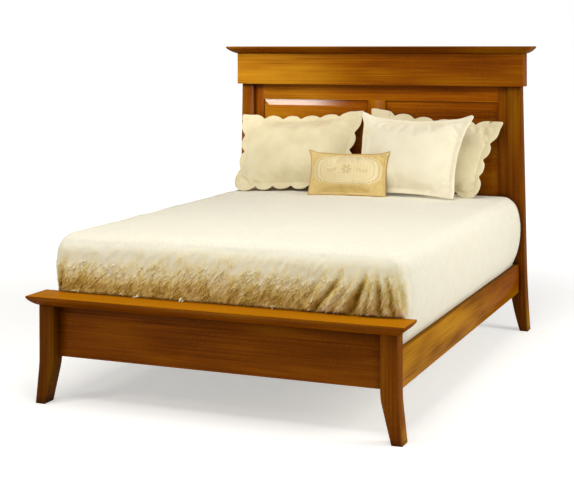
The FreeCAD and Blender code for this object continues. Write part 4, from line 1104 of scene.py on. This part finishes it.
def lumbarFinish(name, cover):
    # gold cotton with a cream label inside a scalloped ring, a plain rosette and a swag
    finish = Finish(name, {"Sheen Weight": 0.3, "Sheen Roughness": 0.4,
                           "Specular IOR Level": 0.3})
    cloth = finish.clothPlace()
    across, height, _ = finish.parts(cloth)
    up = height - cover["raised"]
    wide, high = cover["oval"]
    reach = ((across / wide).absolute() ** 3.2 + (up / high).absolute() ** 3.2) ** 0.3125
    angle = (up / high).angleTo(across / wide)
    scallop = reach - (angle * 22).sine().absolute() * 0.045
    inside = 1 - scallop.step(0.985, 1.01)
    ring = scallop.band(0.90, 0.945, 0.02)
    fine = reach.band(0.80, 0.83, 0.015)
    radius = (across * across + up * up) ** 0.5 / cover["rosette"]
    petal = radius - (up.angleTo(across) * 3).cosine().absolute() * 0.45
    rosette = (1 - petal.step(0.48, 0.56)) * radius.step(0.14, 0.2)
    # a leafy spray to each side of the rosette
    along = across.absolute() / wide
    stem = (up / high - (along * 9).sine() * 0.10).absolute()
    leaf = (1 - stem.step(0.10, 0.15)) * (across * 300).sine().absolute().step(0.25, 0.5)
    spray = leaf * along.step(0.27, 0.30) * (1 - along.step(0.62, 0.66))
    pleats = (across * 190).sine().absolute().step(0.2, 0.9) * (1 - reach.step(0.74, 0.80))
    sewn = ring.higher(fine * 0.7).higher(rosette * 0.8).higher(spray * 0.7)
    sewn = sewn.higher(pleats * 0.22)
    # a pleated swag hangs below the label
    hang = height + 0.090 - (1 - (across / 0.13) ** 2) * 0.012
    swag = hang.band(-0.012, 0.006, 0.003) * (1 - across.absolute().step(0.120, 0.130))
    swag = swag * (0.45 + 0.55 * (across * 260).sine().absolute())
    turn = 2 * math.pi / threadPitch["lumbar"]
    weave = (across * turn).sine() * (height * turn).sine() * 0.5 + 0.5
    slub = finish.mottle(finish.clothPlace(scale=(8, 1, 1)), 80, 3)
    broad = finish.mottle(cloth, 11, 3)
    shade = (broad * 0.5 + slub * 0.3 + weave * 0.2).step(0.3, 0.7)
    ground = finish.between(inside, finish.between(shade, cover["goldDeep"], cover["gold"]),
                            finish.between(shade, cover["creamDeep"], cover["cream"]))
    ground = finish.between(swag * 0.8, ground, cover["goldDeep"])
    finish.surface(finish.between(sewn * 0.6, ground, cover["thread"]), 0.78 - sewn * 0.2,
                   weave * 0.3 + slub * 0.3 + sewn * 1.2, 0.5, 0.0007)
    return finish


lumbarCotton = lumbarFinish("lumbarCotton", lumbarCover)
made = {}
for name, finish, neighbours in (
        ("leftSham", shamCotton, ("head_panel_left", "head_stile_left")),
        ("rightSham", shamCotton, ("head_panel_right",)),
        ("frontPillow", pillowCotton, ("sham_right",)),
        ("lumbarPillow", lumbarCotton, ("sham_left", "front_pillow"))):
    made[name] = makePillow(name, finish, neighbours)
cord = tubeAlong("lumbarCord", made["lumbarPillow"][1], 0.0028,
                 cottonFinish("cordCotton", (0.60, 0.40, 0.13), (0.42, 0.25, 0.06)))
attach(cord, "bed")


blocks = {
    "mattressPad": {"node": "mattress", "corner": 0.080, "edge": 0.026, "inset": 0.001,
                    "rows": 14, "piping": 0.0024},
    "boxSpringPad": {"node": "box_spring", "corner": 0.050, "edge": 0.014, "inset": 0.001,
                     "rows": 12, "piping": 0.0024},
}


def makeBlock(name, finish):
    kind = blocks[name]
    low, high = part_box(kind["node"])
    middle = (low + high) / 2
    half = (high - low) / 2 - Vector((kind["inset"],) * 3)
    count = 48
    turns = np.radians(np.linspace(0, 90, 6))
    rows = [(math.sin(t), -half.z + kind["edge"] * (1 - math.cos(t))) for t in turns]
    rows += [(1.0, -half.z + kind["edge"] + t * 2 * (half.z - kind["edge"]))
             for t in np.linspace(0, 1, kind["rows"])[1:-1]]
    rows += [(part, -z) for part, z in rows[5::-1]]
    points, faces, index = [], [], []
    for part, z in rows:
        inset = kind["edge"] * (1 - part)
        radius = kind["corner"] - inset
        line = []
        for cornerX, cornerY, start in ((1, 1, 0), (-1, 1, 90), (-1, -1, 180), (1, -1, 270)):
            for t in np.linspace(0, 90, count // 4):
                angle = math.radians(start + t)
                line.append(len(points))
                points.append((middle.x + cornerX * (half.x - kind["corner"])
                               + radius * math.cos(angle),
                               middle.y + cornerY * (half.y - kind["corner"])
                               + radius * math.sin(angle), middle.z + z))
        index.append(line + line[:1])
    for part, row in (("Lower", 5), ("Upper", len(index) - 6)):
        line = np.array([points[i] for i in index[row][:-1]])
        piping = tubeAlong(name + part + "Piping", line, kind["piping"], pipingFinish)
        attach(piping, "bed")
    faces = gridFaces(index)
    faces.append(index[0][:-1][::-1])
    faces.append(index[-1][:-1])
    piece = makePiece(name, points, faces, finish)
    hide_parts(kind["node"])
    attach(piece, "bed")
    return piece


tickingStripe = 0.028     # from one stripe to the next, in metres


def tickingFinish(name):
    finish = Finish(name, {"Sheen Weight": 0.2, "Specular IOR Level": 0.25})
    place = finish.objectPlace()
    across, deep, _ = finish.parts(place)
    stripe = ((across + deep) * (2 * math.pi / tickingStripe)).sine().step(0.82, 0.9)
    weave = finish.mottle(finish.objectPlace(scale=(1, 1, 3)), 700, 2)
    broad = finish.mottle(place, 8, 2)
    base = finish.between(broad, (0.70, 0.68, 0.61), (0.80, 0.78, 0.71))
    finish.surface(finish.between(stripe * 0.5, base, (0.38, 0.42, 0.46)),
                   0.85 + (weave - 0.5) * 0.2, weave, 0.4, 0.0006)
    return finish


ticking = tickingFinish("tickingCotton")
pipingFinish = cottonFinish("pipingCotton", (0.66, 0.64, 0.58), (0.50, 0.49, 0.45))
for name in blocks:
    makeBlock(name, ticking)
print("mattress and box spring made")

# pan-head screws through each ledger into its rail
screws = {"radius": 0.0042, "height": 0.0026, "every": 0.21, "fromEnd": 0.05}


def screwRecipe(finish, axis):
    recipe = Recipe("panHeads", {"Radius": 0.004, "Height": 0.0026})
    spots = recipe.node("GeometryNodeMeshToPoints", None, {0: recipe.given["Geometry"]})
    ball = recipe.node("GeometryNodeMeshUVSphere", None,
                       {"Segments": 12, "Rings": 6, "Radius": recipe.given["Radius"]})
    flat = recipe.node("ShaderNodeMath", {"operation": "DIVIDE"},
                       {0: recipe.given["Height"], 1: recipe.given["Radius"]})
    scale = recipe.node("ShaderNodeCombineXYZ", None, {0: 1.0, 1: 1.0, 2: flat})
    recipe.scatter(spots, ball, axis, finish, scale)
    return recipe


for hand, side in ((-1, "left"), (1, "right")):
    low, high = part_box("rail_ledger_" + side)
    inner = high.x if hand < 0 else low.x
    count = round((high.y - low.y - 2 * screws["fromEnd"]) / screws["every"])
    rowOfScrews = [(inner, y, (low.z + high.z) / 2) for y in
                   np.linspace(low.y + screws["fromEnd"], high.y - screws["fromEnd"], count + 1)]
    heads = screwRecipe(zinc, (-hand, 0, 0)).run(
        side + "LedgerScrews", pointsOnly("screwSpots", rowOfScrews),
        {"Radius": screws["radius"], "Height": screws["height"]}, zinc)
    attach(heads, "bed")
print("screws made")


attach(bedspread, "bed")
for name, (piece, _) in made.items():
    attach(piece, "bed")


floorLook = {"tone": (0.86, 0.86, 0.84), "glow": 0.42, "farGlow": 0.54, "fade": (1.0, 5.5),
             "side": 30.0}


def makeFloor(look):
    finish = Finish("floor", {"Roughness": 0.9, "Specular IOR Level": 0.1,
                              "Emission Strength": 1})
    place = finish.objectPlace()
    finish.feed("Base Color", finish.between(finish.mottle(place, 3, 2), look["tone"],
                                             [t * 0.985 for t in look["tone"]]))
    # away from the bed the floor runs into the white backdrop
    far = finish.node("ShaderNodeVectorMath", {"operation": "LENGTH"}, {0: place},
                      output="Value")
    seen = finish.node("ShaderNodeLightPath", output="Is Camera Ray")
    for ray in ("Is Glossy Ray", "Is Transmission Ray"):
        seen = seen.higher(finish.node("ShaderNodeLightPath", output=ray))
    glow = (far.step(*look["fade"]) * look["farGlow"] + look["glow"]) * seen
    finish.feed("Emission Color", finish.between(glow, (0, 0, 0), (1, 1, 1)))
    side = look["side"]
    piece = makePiece("floor", [(-side, -side, 0), (side, -side, 0), (side, side, 0),
                                (-side, side, 0)], [(0, 1, 2, 3)], finish, False)


makeFloor(floorLook)
print("floor made")
